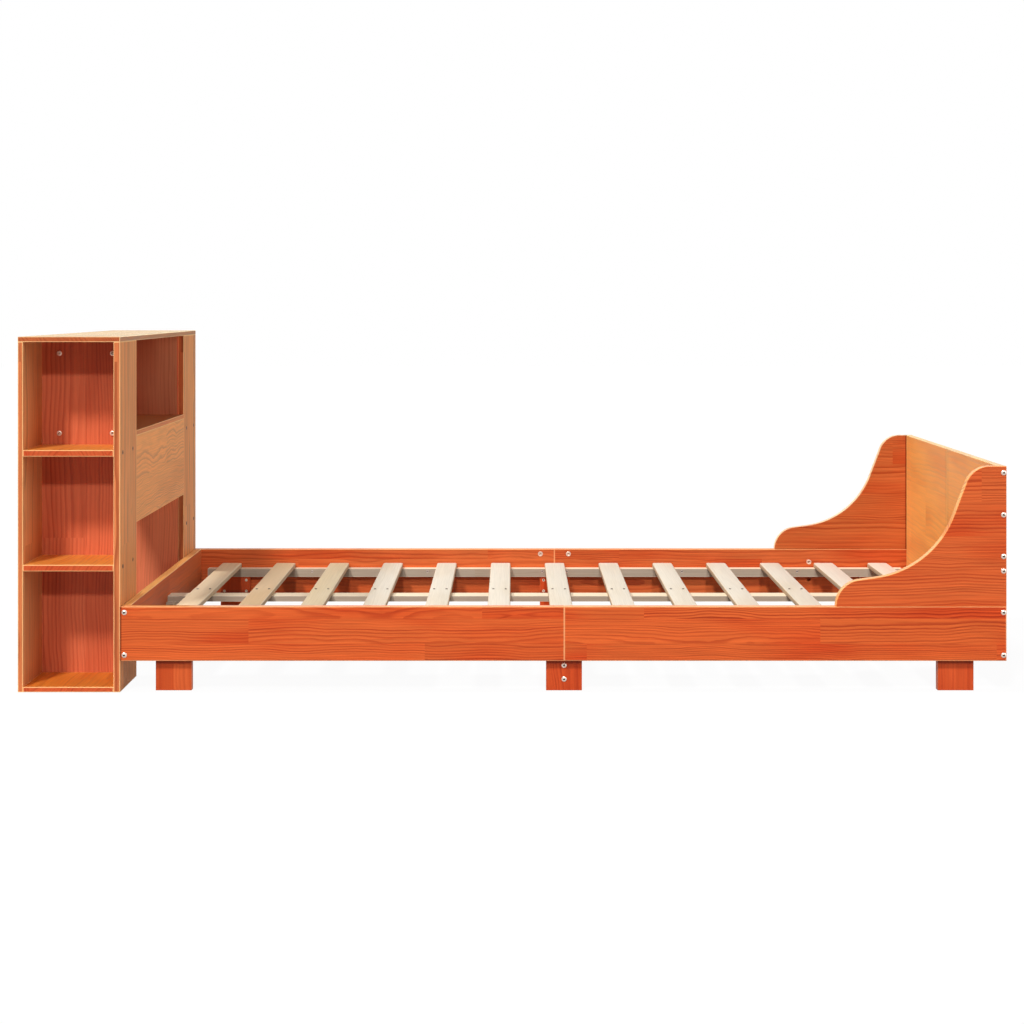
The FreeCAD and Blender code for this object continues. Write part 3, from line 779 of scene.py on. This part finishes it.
@dataclass(frozen=True)
class ZincFinish:
    """Zinc plating on steel."""

    name: str
    colour: Colour
    dull: Colour
    roughness: float = 0.30
    metallic: float = 1.0
    roughness_spread: float = 0.2
    relief: float = 0.1

    def material(self, marks: MetalMarks) -> bpy.types.Material:
        """Make the material of the fasteners.

        Args:
            marks: The group that draws the cloud and scratches.

        Returns:
            The material.
        """
        made = bpy.data.materials.new(self.name)
        canvas = Canvas.cleared(made)
        seen = marks.place(canvas, place=canvas.node("ShaderNodeTexCoord").outputs["Object"])
        bump = canvas.node("ShaderNodeBump", {
            "Strength": self.relief, "Distance": MILLIMETRE, "Height": seen["Scratch"]})
        shader = canvas.node("ShaderNodeBsdfPrincipled", {
            "Base Color": canvas.blend(seen["Cloud"], self.dull, self.colour),
            "Roughness": self.roughness + (seen["Scratch"] - 0.5) * self.roughness_spread,
            "Normal": bump.outputs["Normal"], "Metallic": self.metallic,
        })
        canvas.node("ShaderNodeOutputMaterial", {"Surface": shader.outputs[0]})
        return made


BRIGHT_ZINC = ZincFinish("bright_zinc", (0.80, 0.68, 0.59, 1.0), (0.54, 0.42, 0.35, 1.0))
PINK_ZINC = ZincFinish("pink_zinc", (0.86, 0.64, 0.52, 1.0), (0.66, 0.46, 0.36, 1.0), 0.35, 0.6)
# A near-white, mostly diffuse zinc for the leg screws: pale zinc brightened as a painted glint, so
# the heads show as bright dots in the shade.
PAINTED_GLINT_ZINC = ZincFinish("painted_glint_zinc", (1.0, 0.92, 0.74, 1.0), (0.90, 0.80, 0.62, 1.0), 0.4, 0.1)
GREY_ZINC = ZincFinish("grey_zinc", (0.22, 0.19, 0.15, 1.0), (0.14, 0.12, 0.10, 1.0), 0.45)
# A near-black, brownish zinc for the shelf screws.
DARK_ZINC = ZincFinish("dark_zinc", (0.13, 0.08, 0.05, 1.0), (0.07, 0.05, 0.03, 1.0), 0.45)


def put_in_scene(name: str, data: bpy.types.ID) -> bpy.types.Object:
    """Put an object in the scene.

    Args:
        name: Its name.
        data: Its mesh, lamp or lens.

    Returns:
        The object.
    """
    made = bpy.data.objects.new(name, data)
    bpy.context.scene.collection.objects.link(made)
    return made


def mesh_of(shape: bmesh.types.BMesh, name: str) -> bpy.types.Mesh:
    """Turn a finished shape into a mesh.

    Args:
        shape: The shape, which is freed.
        name: The mesh's name.

    Returns:
        The mesh.
    """
    mesh = bpy.data.meshes.new(name)
    shape.to_mesh(mesh)
    shape.free()
    return mesh


def new_piece(mesh: bpy.types.Mesh, node: str, slot: Slot,
              *materials: bpy.types.Material) -> None:
    """Put a new piece in the scene, in place of a CAD node.

    Args:
        mesh: The piece's mesh, which also gives its name.
        node: The name of the CAD node.
        slot: The piece's material slot. It is not used.
        *materials: Its materials, by the index that its faces have.
    """
    mesh.shade_smooth()
    mesh.set_sharp_from_angle(angle=SMOOTH_ANGLE)
    piece = put_in_scene(mesh.name, mesh)
    for material in materials:
        mesh.materials.append(material)
    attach(piece, BODY)
    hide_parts(node)
    LOG.info("made %s with %d faces", piece.name, len(mesh.polygons))


@dataclass(frozen=True)
class Workshop:
    """The groups that several materials share."""

    figure: PineFigure
    faces: BoardFaces
    marks: MetalMarks

    def dress(self, node: str, finish: PineFinish, seed: float, along: Axis | None = None,
              **details: float) -> None:
        """Give a CAD board its own wood.

        Args:
            node: The name of the board's CAD node.
            finish: The finish.
            seed: A number that no other board has.
            along: The direction of the grain, where it isn't the longest side.
            **details: How the board is cut, by the names of the cut's fields.
        """
        cut = Cut.of_node(node, seed, along, **details)
        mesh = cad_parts[node].data
        mesh.materials.clear()
        mesh.materials.append(finish.material(cut, self.figure, self.faces, node))
        LOG.info("dressed %s with %s", node, finish.name)


SIDES = ("left", "right")


@dataclass
class Bookcase:
    """The bookcase headboard: side compartments, a niche and the boards round them."""

    workshop: Workshop
    seed: float = 1.0
    panel_stave: float = 0.075
    divider_stave: float = 0.105
    shelf_stave: float = 0.09

    def build(self) -> None:
        """Dress each board of the bookcase."""
        self.dress_sides()
        self.dress_middle()

    def dress_sides(self) -> None:
        """Dress the panels, dividers and shelves of the two compartment stacks."""
        dress = self.workshop.dress
        panels = (("mattress_side_panel", PANEL_WAX), ("wall_side_panel", WALL_PANEL_WAX))
        boards = (("bottom_board", BOTTOM_WAX), ("lower_shelf", SHELF_WAX),
                  ("upper_shelf", SHELF_WAX))
        for place, side in enumerate(SIDES):
            seed = self.seed + 0.37 * place
            for step, (panel, finish) in enumerate(panels):
                dress(f"{side}_{panel}", finish, seed + 0.11 * step,
                      stave_width=self.panel_stave, stave_length=1.0, joint_shift=0.5,
                      wander=0.014, ring_width=0.013, rim_width=2.0 * MILLIMETRE)
            # The right divider takes the lighter copy: painted light under the centre panel.
            dress(f"{side}_divider", RIGHT_DIVIDER_PAINTED_LIGHT if place else DIVIDER_WAX, seed + 0.29,
                  stave_width=self.divider_stave, stave_length=1.0, joint_shift=0.5,
                  wander=0.012, ring_width=0.010, pith_aside=0.7, knots=0.0)
            for step, (board, finish) in enumerate(boards):
                dress(f"{side}_{board}", finish, seed + 0.41 + 0.07 * step, Axis.Y,
                      stave_width=self.shelf_stave, ring_width=0.008,
                      rim_width=2.2 * MILLIMETRE)

    def dress_middle(self) -> None:
        """Dress the top, the niche, the centre panel and the cleats."""
        dress = self.workshop.dress
        dress("headboard_top", TOP_WAX, self.seed + 0.83, stave_width=self.panel_stave,
              ring_width=0.008)
        dress("headboard_centre_panel", CENTRE_PANEL_WAX, self.seed + 0.91,
              stave_width=0.105, stave_length=0.9, stave_shift=0.105, joint_shift=0.45,
              wander=0.035, ring_width=0.006, pith_aside=0.4)
        # The niche floor takes the darker copy with painted shade.
        dress("niche_floor", NICHE_FLOOR_PAINTED_SHADE, self.seed + 1.3)
        for step, board in enumerate(("niche_back", "top_cleats")):
            dress(board, NICHE_WAX, self.seed + 1.47 + 0.17 * step, Axis.Z, wander=0.010,
                  ring_width=0.011, knots=0.0)


@dataclass
class Base:
    """The rails, legs, ledgers and beams that carry the slats."""

    workshop: Workshop
    seed: float = 3.0
    rail_stave: float = 0.058
    rail_stave_shift: float = 0.023
    joint_shifts: tuple[float, float] = (0.217, -0.081)

    def build(self) -> None:
        """Dress each board of the base."""
        self.dress_rails()
        self.dress_legs()
        self.dress_bearers()

    def dress_rails(self) -> None:
        """Dress the head rail and the four halves of the side rails."""
        self.workshop.dress("head_rail", HEAD_RAIL_WAX, self.seed, stave_width=0.063, knots=0.4)
        # The right halves take the darker copy of the rail wood: painted shade on the far side.
        halves = (("left", "head", RAIL_WAX), ("left", "foot", FOOT_RAIL_WAX),
                  ("right", "head", RIGHT_RAIL_PAINTED_SHADE), ("right", "foot", RIGHT_RAIL_PAINTED_SHADE))
        for number, (side, half, finish) in enumerate(halves):
            place, step = divmod(number, 2)
            node = f"{side}_side_rail_{half}_half"
            # The head halves get a band of painted shade at their head ends, where they meet the
            # headboard.
            self.workshop.dress(
                node, finish, self.seed + 0.21 * step + 0.47 * place,
                stave_width=self.rail_stave, stave_shift=self.rail_stave_shift,
                stave_length=0.95, joint_shift=self.joint_shifts[step], wander=0.012,
                ring_width=0.0055, pith_aside=0.35, pith_depth=0.03,
                rim_width=2.4 * MILLIMETRE, seam=float(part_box(node)[0].x),
                seam_shade=0.0 if step else 1.0)

    def dress_legs(self) -> None:
        """Dress the six legs, which stand in the shade of the rails, with that shade painted under
        each rail.
        """
        # Each leg gets a band of painted shadow just under the foot of the rail.
        rail_foot = float(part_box("left_side_rail_head_half")[0].z)
        legs = (("head", HEAD_LEG_WAX), ("middle", MIDDLE_LEG_WAX), ("foot", LEG_WAX))
        for place, side in enumerate(SIDES):
            for step, (spot, finish) in enumerate(legs):
                self.workshop.dress(
                    f"{side}_{spot}_leg", finish, self.seed + 1.1 + 0.13 * step + 0.53 * place,
                    Axis.Z, stave_width=0.09, ring_width=0.012, knots=0.0, seam=rail_foot,
                    seam_width=16 * MILLIMETRE, seam_shade=0.75)

    def dress_bearers(self) -> None:
        """Dress the ledgers, the centre beam, its cleats and the board under it."""
        bearers = [f"{side}_ledger_{half}_half" for side in SIDES for half in ("head", "foot")]
        bearers += ["centre_beam_head_half", "centre_beam_foot_half"]
        bearers += ["head_beam_cleat", "foot_beam_cleat"]
        for step, node in enumerate(bearers):
            self.workshop.dress(node, BEARER_PINE, self.seed + 2 + 0.19 * step, wander=0.006)
        self.workshop.dress("middle_cross_board", RAIL_WAX, self.seed + 4.7)


@dataclass
class SlatDeck:
    """The row of bare pine slats, with rounded corners and arrises."""

    workshop: Workshop
    corner: float = 6 * MILLIMETRE
    arris: float = 3.5 * MILLIMETRE
    segments: int = 3
    # The first slats take the copies with painted warm shade, as they lie in the headboard's
    # shade.
    shaded: tuple[PineFinish, ...] = (FIRST_SLAT_PAINTED_WARM_SHADE, SECOND_SLAT_PAINTED_WARM_SHADE, THIRD_SLAT_PAINTED_WARM_SHADE)
    seed: float = 8.0
    seed_step: float = 0.31

    def build(self) -> None:
        """Make each slat, cut from its own board."""
        slats = sorted(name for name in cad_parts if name.startswith("slat_")
                       and not name.endswith("screws"))
        shop = self.workshop
        for place, node in enumerate(slats):
            finish = self.shaded[place] if place < len(self.shaded) else SLAT_PINE
            cut = Cut.of_node(
                node, self.seed + self.seed_step * place, stave_width=1.0, stave_length=9.0,
                stave_shift=0.5, joint_shift=4.5, wander=0.008, pith_aside=0.03, knots=0.04)
            new_piece(self.slat_mesh(node), node, Slot.PALE_PINE,
                      finish.material(cut, shop.figure, shop.faces, node))

    def slat_mesh(self, node: str) -> bpy.types.Mesh:
        """Round a slat's four corners, and then its upper and lower arrises.

        Args:
            node: The slat's CAD node, whose box it fills.

        Returns:
            The mesh.
        """
        low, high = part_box(node)
        size = high - low
        shape = bmesh.new()
        bmesh.ops.create_cube(shape, size=1.0)
        bmesh.ops.scale(shape, vec=size, verts=shape.verts)

        def rise(edge: bmesh.types.BMEdge) -> float:
            """Return how far an edge climbs."""
            return abs(edge.verts[0].co.z - edge.verts[1].co.z)

        def ease(edges: list[bmesh.types.BMEdge], width: float) -> None:
            """Round some edges."""
            bmesh.ops.bevel(shape, geom=edges, offset=width, offset_type="OFFSET",
                            affect="EDGES", segments=self.segments, profile=0.5, material=-1)

        ease([edge for edge in shape.edges if rise(edge) > size.z / 2], self.corner)
        ease([edge for edge in shape.edges if rise(edge) < size.z / 2
              and edge.calc_face_angle() > math.pi / 4], self.arris)
        bmesh.ops.translate(shape, vec=(low + high) / 2, verts=shape.verts)
        bmesh.ops.recalc_face_normals(shape, faces=shape.faces)
        return mesh_of(shape, f"{node}_rounded")


@dataclass
class Footboard:
    """The low footboard and its two swan-curved wings."""

    workshop: Workshop
    seed: float = 14.0
    board_stave: float = 0.13
    wing_stave: float = 0.08

    def build(self) -> None:
        """Dress the two halves of the footboard and the wings."""
        # The right wing takes the darker copy with painted shade.
        for place, (side, finish) in enumerate(zip(SIDES, (WING_WAX, RIGHT_WING_PAINTED_SHADE))):
            half = f"{side}_footboard_half"
            seed = self.seed + 0.6 * place
            # A darker joint runs down the middle, where the two halves meet.
            self.workshop.dress(
                half, FOOTBOARD_WAX, seed, Axis.Y, stave_width=self.board_stave,
                stave_shift=0.03 * place, wander=0.02, ring_width=0.012, knots=0.3,
                rim_width=2.2 * MILLIMETRE, seam=0.0, seam_width=26 * MILLIMETRE,
                seam_shade=0.18)
            # The right wing gets a band of painted shade where it meets the footboard.
            self.workshop.dress(
                f"{side}_wing", finish, seed + 1.7, Axis.X, stave_width=self.wing_stave,
                stave_length=2.0, joint_shift=1.0, wander=0.010, ring_width=0.007,
                pith_aside=0.9, curved=1.0, seam=float(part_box(half)[0].x),
                seam_shade=float(place))


@dataclass(frozen=True)
class Seat:
    """Where a fastener sits: the middle of its visible face, its way in and its length."""

    point: Vector
    way: Vector
    length: float
    reach: float

    @property
    def matrix(self) -> Matrix:
        """The transform that takes a fastener made round Z to its seat."""
        turn = Vector((0, 0, 1)).rotation_difference(self.way).to_matrix().to_4x4()
        return Matrix.Translation(self.point) @ turn


def loose_solids(node: str) -> list[list[Vector]]:
    """Find the corners of each loose solid of a CAD node.

    Args:
        node: The node's name.

    Returns:
        A list of corners for each solid.
    """
    shape = bmesh.new()
    shape.from_mesh(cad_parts[node].data)
    bmesh.ops.remove_doubles(shape, verts=shape.verts, dist=TOUCHING)
    waiting = set(shape.verts)
    solids = []
    while waiting:
        front = [min(waiting, key=lambda vert: vert.index)]
        found = []
        waiting.discard(front[0])
        while front:
            vert = front.pop()
            found.append(vert.co.copy())
            for edge in vert.link_edges:
                other = edge.other_vert(vert)
                if other in waiting:
                    waiting.discard(other)
                    front.append(other)
        solids.append(found)
    shape.free()
    return solids


def seat_of(corners: list[Vector]) -> Seat:
    """Read a fastener's seat from the corners of its CAD solid.

    Args:
        corners: The solid's corners.

    Returns:
        The seat, whose way goes from the wider end to the other one. Where both ends are
        alike, it goes from the end that is nearer to the middle of the bed.
    """
    low = Vector(min(corner[place] for corner in corners) for place in range(3))
    high = Vector(max(corner[place] for corner in corners) for place in range(3))
    axis = min(range(3), key=lambda place: len({round(corner[place], 4) for corner in corners}))
    middle = (low + high) / 2
    ends = []
    for limit in (low[axis], high[axis]):
        point = middle.copy()
        point[axis] = limit
        near = [corner for corner in corners if abs(corner[axis] - limit) < 0.1 * MILLIMETRE]
        width = max((corner - point).length for corner in near)
        ends.append((round(width, 5), -round(abs(limit), 5), point))
    first, last = sorted(ends, key=lambda end: end[:2], reverse=True)
    way = (last[2] - first[2]).normalized()
    reach = max((corner - middle).cross(way).length for corner in corners)
    return Seat(first[2], way, (high - low)[axis], reach)


@dataclass(frozen=True)
class Recess:
    """A cross for a screwdriver in the face of a fastener, with its sizes in millimetres."""

    reach: float
    half_width: float
    depth: float
    taper: float = 0.55

    def sink(self, shape: bmesh.types.BMesh, top: float, rim: list[bmesh.types.BMEdge]) -> None:
        """Sink the cross into the face of a fastener.

        Args:
            shape: The fastener.
            top: How deep the ring round the face lies.
            rim: The edges of that ring.
        """
        reach, half, depth = (
            size * MILLIMETRE for size in (self.reach, self.half_width, self.depth))
        outline = []
        for quarter in range(4):
            turn = Matrix.Rotation(quarter * math.pi / 2, 3, "Z")
            outline += [turn @ Vector((x, y, top))
                        for x, y in ((reach, half), (half, half), (half, reach))]
        verts = [shape.verts.new(point) for point in outline]
        edges = [shape.edges.new(pair) for pair in zip(verts, verts[1:] + verts[:1])]
        bmesh.ops.bridge_loops(shape, edges=rim + edges)
        sunk = bmesh.ops.extrude_edge_only(shape, edges=edges)["geom"]
        low_verts = [item for item in sunk if isinstance(item, bmesh.types.BMVert)]
        low_edges = [item for item in sunk if isinstance(item, bmesh.types.BMEdge)
                     and all(vert in low_verts for vert in item.verts)]
        bmesh.ops.scale(shape, vec=(self.taper, self.taper, 1.0), verts=low_verts)
        bmesh.ops.translate(shape, vec=(0, 0, depth), verts=low_verts)
        bmesh.ops.edgeloop_fill(shape, edges=low_edges)


@dataclass(frozen=True)
class Fastener:
    """A fastener turned round Z, with its visible face at zero and its end at its length.

    Each of its rings has a radius, a depth, and a share of the length that adds to the depth.
    The radius and the depth are in units: millimetres, or another size that is given.
    """

    rings: tuple[tuple[float, float, float], ...]
    cross: Recess | None = None
    steps: int = 24
    unit: float = MILLIMETRE

    def mesh(self, length: float) -> bpy.types.Mesh:
        """Spin the line through the rings once round Z, and sink the cross.

        Args:
            length: The whole length of the fastener.

        Returns:
            The mesh, whose faces point outwards.
        """
        shape = bmesh.new()
        profile = [(radius * self.unit, depth * self.unit + share * length)
                   for radius, depth, share in self.rings]
        verts = [shape.verts.new((radius, 0.0, depth)) for radius, depth in profile]
        edges = [shape.edges.new(pair) for pair in zip(verts, verts[1:])]
        bmesh.ops.spin(shape, geom=verts + edges, cent=(0, 0, 0), axis=(0, 0, 1),
                       angle=2 * math.pi, steps=self.steps, use_merge=True)
        bmesh.ops.remove_doubles(shape, verts=shape.verts, dist=0.001 * MILLIMETRE)
        if self.cross:
            radius, top = profile[0]
            first = {vert for vert in shape.verts if abs(vert.co.z - top) < TOUCHING
                     and abs(vert.co.xy.length - radius) < TOUCHING}
            rim = [edge for edge in shape.edges if first.issuperset(edge.verts)]
            self.cross.sink(shape, top, rim)
        bmesh.ops.recalc_face_normals(shape, faces=shape.faces)
        return mesh_of(shape, "fastener")


# The bolts and the nut are in millimetres, and the stud is in radii of its own.
HEAD_RADIUS = 6.4
HEAD_HEIGHT = 3.0
BOLT_END = ((HEAD_RADIUS, HEAD_HEIGHT, 0), (2.5, HEAD_HEIGHT, 0), (2.5, -1, 1), (1.75, 0, 1),
            (0, 0, 1))
DOME = tuple((HEAD_RADIUS * share, 0.9 * HEAD_HEIGHT * (1 - math.sqrt(1 - share ** 2)), 0)
             for share in (0.56, 0.70, 0.82, 0.91, 0.97))
ROUND_HEAD_BOLT = Fastener(
    ((2.944, 0, 0), *DOME, (HEAD_RADIUS, 2.58, 0), *BOLT_END),
    Recess(reach=2.56, half_width=0.96, depth=2.1))
SOCKET_BOLT = Fastener((
    (0, 7.8, 0), (2.176, 7.8, 0), (2.304, 1.5, 0), (3.328, 0.3, 0), (3.584, 0, 0),
    (5.376, 0, 0), (6.144, 0.48, 0), (HEAD_RADIUS, 1.2, 0), *BOLT_END))
BARREL_NUT = Fastener((
    (0, 0, 0.62), (2.94, 0, 0.62), (2.94, 0, 0.05), (3.36, 0, 0.03), (4.76, 0, 0.03),
    (5.18, 0, 0), (6.58, 0, 0), (7, 0, 0.02), (7, 0, 1), (0, 0, 1)), steps=28)
STUD = Fastener((
    (0, 0, 0), (0.7, 0, 0), (1, 0.3, 0), (1, -0.3, 1), (0.7, 0, 1), (0, 0, 1)), steps=12)


def countersunk_screw(head: float, sunk: float = 0.15, lip: float = 0.1) -> Fastener:
    """Make a wood screw with a flat head, with its sizes in millimetres.

    Args:
        head: The radius of the head.
        sunk: How far the head's face lies under the face of the wood.
        lip: The height of the head's rim.

    Returns:
        The screw.
    """
    return Fastener((
        (head * 0.72, sunk, 0), (head * 0.96, sunk, 0), (head, sunk + lip, 0),
        (1.7, head * 0.55, 0), (1.7, 0, 0.86), (0, 0, 1),
    ), Recess(reach=head * 0.60, half_width=head * 0.20, depth=head * 0.35), steps=16)


@dataclass
class Hardware:
    """The zinc fasteners, made round where the frame draws them with few flats."""

    workshop: Workshop
    bolt: Fastener = ROUND_HEAD_BOLT
    socket_bolt: Fastener = SOCKET_BOLT
    screw: Fastener = countersunk_screw(4.0)
    slat_screw: Fastener = countersunk_screw(3.1, sunk=-1.6, lip=1.4)
    shelf_screw: Fastener = countersunk_screw(5.2, sunk=-0.2)
    nut: Fastener = BARREL_NUT
    stud: Fastener = STUD
    stud_limit: float = 4 * MILLIMETRE
    stud_share: float = 0.85
    short_bolt: float = 40 * MILLIMETRE
    seed: int = 5

    def build(self) -> None:
        """Make the six groups of fasteners."""
        chance = random.Random(self.seed)
        bright, pink, glint_screws, dark_screws, grey = (finish.material(self.workshop.marks) for finish in (
            BRIGHT_ZINC, PINK_ZINC, PAINTED_GLINT_ZINC, DARK_ZINC, GREY_ZINC))
        groups = {
            "frame_bolts": (bright, pink), "ledger_screws": (bright,), "rail_connectors": (pink,),
            "leg_screws": (glint_screws,), "shelf_screws": (dark_screws,), "slat_screws": (grey,),
        }
        for node, materials in groups.items():
            new_piece(self.group_mesh(node, chance), node, Slot.ZINC_STEEL, *materials)

    def fastener(self, node: str, seat: Seat) -> Fastener:
        """Choose the fastener that goes into a seat.

        Args:
            node: The CAD node that the seat comes from.
            seat: The seat.

        Returns:
            The fastener.
        """
        if node == "frame_bolts":
            return self.socket_bolt if seat.length < self.short_bolt else self.bolt
        if node == "slat_screws":
            return self.slat_screw
        headward = seat.way.x < -0.5
        if node == "shelf_screws" and headward:
            return self.shelf_screw
        if node != "rail_connectors":
            return self.screw
        if seat.reach > self.stud_limit:
            return self.nut
        return replace(self.stud, unit=seat.reach * self.stud_share)

    def group_mesh(self, node: str, chance: random.Random) -> bpy.types.Mesh:
        """Make all the fasteners of one CAD node as one mesh.

        Args:
            node: The CAD node's name.
            chance: Gives each fastener the turn at which it was tightened.

        Returns:
            The mesh, in which the socket bolts have the second material.
        """
        whole = bmesh.new()
        for corners in loose_solids(node):
            seat = seat_of(corners)
            fastener = self.fastener(node, seat)
            single = fastener.mesh(seat.length)
            start, first_face = len(whole.verts), len(whole.faces)
            whole.from_mesh(single)
            bpy.data.meshes.remove(single)
            whole.faces.ensure_lookup_table()
            whole.verts.ensure_lookup_table()
            for face in whole.faces[first_face:]:
                face.material_index = int(fastener is self.socket_bolt)
            turn = Matrix.Rotation(chance.uniform(0, math.pi / 2), 4, "Z")
            bmesh.ops.transform(whole, matrix=seat.matrix @ turn, verts=whole.verts[start:])
        return mesh_of(whole, f"{node}_detailed")


@dataclass(frozen=True)
class Sun:
    """A far, soft lamp, placed by its bearing and height as seen from the bed."""

    name: str
    bearing: float
    height: float
    strength: float
    softness: float
    distance: float = 6.0

    def build(self) -> None:
        """Make the lamp. A bearing of 0 is at the camera, and 90 is behind the headboard."""
        lamp = bpy.data.lights.new(self.name, "SUN")
        lamp.energy = self.strength
        lamp.angle = math.radians(self.softness)
        bearing = math.radians(self.bearing)
        height = math.radians(self.height)
        away = Vector((-math.sin(bearing) * math.cos(height),
                       -math.cos(bearing) * math.cos(height), math.sin(height)))
        placed = put_in_scene(self.name, lamp)
        placed.location = away * self.distance
        placed.rotation_euler = away.to_track_quat("Z", "Y").to_euler()


@dataclass(frozen=True)
class Studio:
    """The white studio: floor, surroundings, lamps and the camera."""

    ambient: float = 0.11
    floor_glow: float = 0.95
    floor_paint: float = 0.86
    floor_bounce: float = 0.36
    floor_size: float = 40.0
    floor_squares: int = 8
    floor_drop: float = 0.2 * MILLIMETRE
    camera_place: tuple[float, float, float] = (0.0, -4.4735, 0.902)
    lens: float = 60.61
    sensor: float = 36.0
    shift_x: float = -0.0001
    shift_y: float = -0.204
    suns: tuple[Sun, ...] = (
        Sun("key_sun", bearing=22, height=47, strength=2.3, softness=7),
        Sun("front_sun", bearing=0, height=27, strength=0.95, softness=3),
        Sun("left_sun", bearing=90, height=50, strength=1.85, softness=4),
        Sun("right_sun", bearing=-80, height=23, strength=1.27, softness=48),
    )

    def build(self) -> None:
        """Make everything in the studio."""
        bpy.context.scene.view_settings.view_transform = "Standard"
        self.make_surroundings()
        self.make_floor()
        for sun in self.suns:
            sun.build()
        self.make_camera()

    def seen_directly(self, canvas: Canvas) -> Signal:
        """Tell the rays that reach the eye straight, mirrored or through glass.

        Args:
            canvas: The tree of the material or world.

        Returns:
            One for such a ray, and zero for any other.
        """
        rays = canvas.node("ShaderNodeLightPath").outputs
        mirrored = canvas.math("MAXIMUM", rays["Is Glossy Ray"], rays["Is Transmission Ray"])
        return canvas.math("MAXIMUM", rays["Is Camera Ray"], mirrored)

    def make_surroundings(self) -> None:
        """Make the world white to the eye, with a plainer light on the bed."""
        world = bpy.data.worlds.new("studio_surroundings")
        canvas = Canvas.cleared(world)
        strength = self.ambient + self.seen_directly(canvas) * (1.0 - self.ambient)
        light = canvas.node("ShaderNodeBackground", {"Color": WHITE, "Strength": strength})
        canvas.node("ShaderNodeOutputWorld", {"Surface": light.outputs[0]})
        bpy.context.scene.world = world

    def make_floor(self) -> None:
        """Lay a wide white floor that keeps the shadow of the bed."""
        shape = bmesh.new()
        bmesh.ops.create_grid(shape, x_segments=self.floor_squares,
                              y_segments=self.floor_squares, size=self.floor_size / 2)
        mesh = mesh_of(shape, "studio_floor")
        floor = put_in_scene("studio_floor", mesh)
        floor.location = (0, 0, -self.floor_drop)
        material = bpy.data.materials.new("studio_floor")
        canvas = Canvas.cleared(material)
        seen = self.seen_directly(canvas)
        white = self.floor_bounce + seen * (self.floor_paint - self.floor_bounce)
        paint = canvas.node("ShaderNodeBsdfDiffuse", {
            "Color": canvas.joined(white, white, white)})
        glow = canvas.node("ShaderNodeEmission", {"Color": WHITE, "Strength": 1.0})
        both = canvas.node("ShaderNodeMixShader", {
            0: seen * self.floor_glow, 1: paint.outputs[0], 2: glow.outputs[0]})
        canvas.node("ShaderNodeOutputMaterial", {"Surface": both.outputs[0]})
        mesh.materials.append(material)

    def make_camera(self) -> None:
        """Set the camera where the photograph was taken, level, with its frame shifted down."""
        lens = bpy.data.cameras.new("studio_camera")
        lens.lens = self.lens
        lens.sensor_width = self.sensor
        lens.shift_x = self.shift_x
        lens.shift_y = self.shift_y
        camera = put_in_scene("studio_camera", lens)
        camera.location = self.camera_place
        camera.rotation_euler = (math.pi / 2, 0, 0)
        bpy.context.scene.camera = camera


def main() -> None:
    """Build the studio and dress each sub-assembly in order."""
    logging.basicConfig(level=logging.INFO, format="%(name)s: %(message)s")
    Studio().build()
    workshop = Workshop(PineFigure(), BoardFaces(), MetalMarks())
    Bookcase(workshop).build()
    Base(workshop).build()
    SlatDeck(workshop).build()
    Footboard(workshop).build()
    Hardware(workshop).build()


if __name__ == "__main__":
    main()
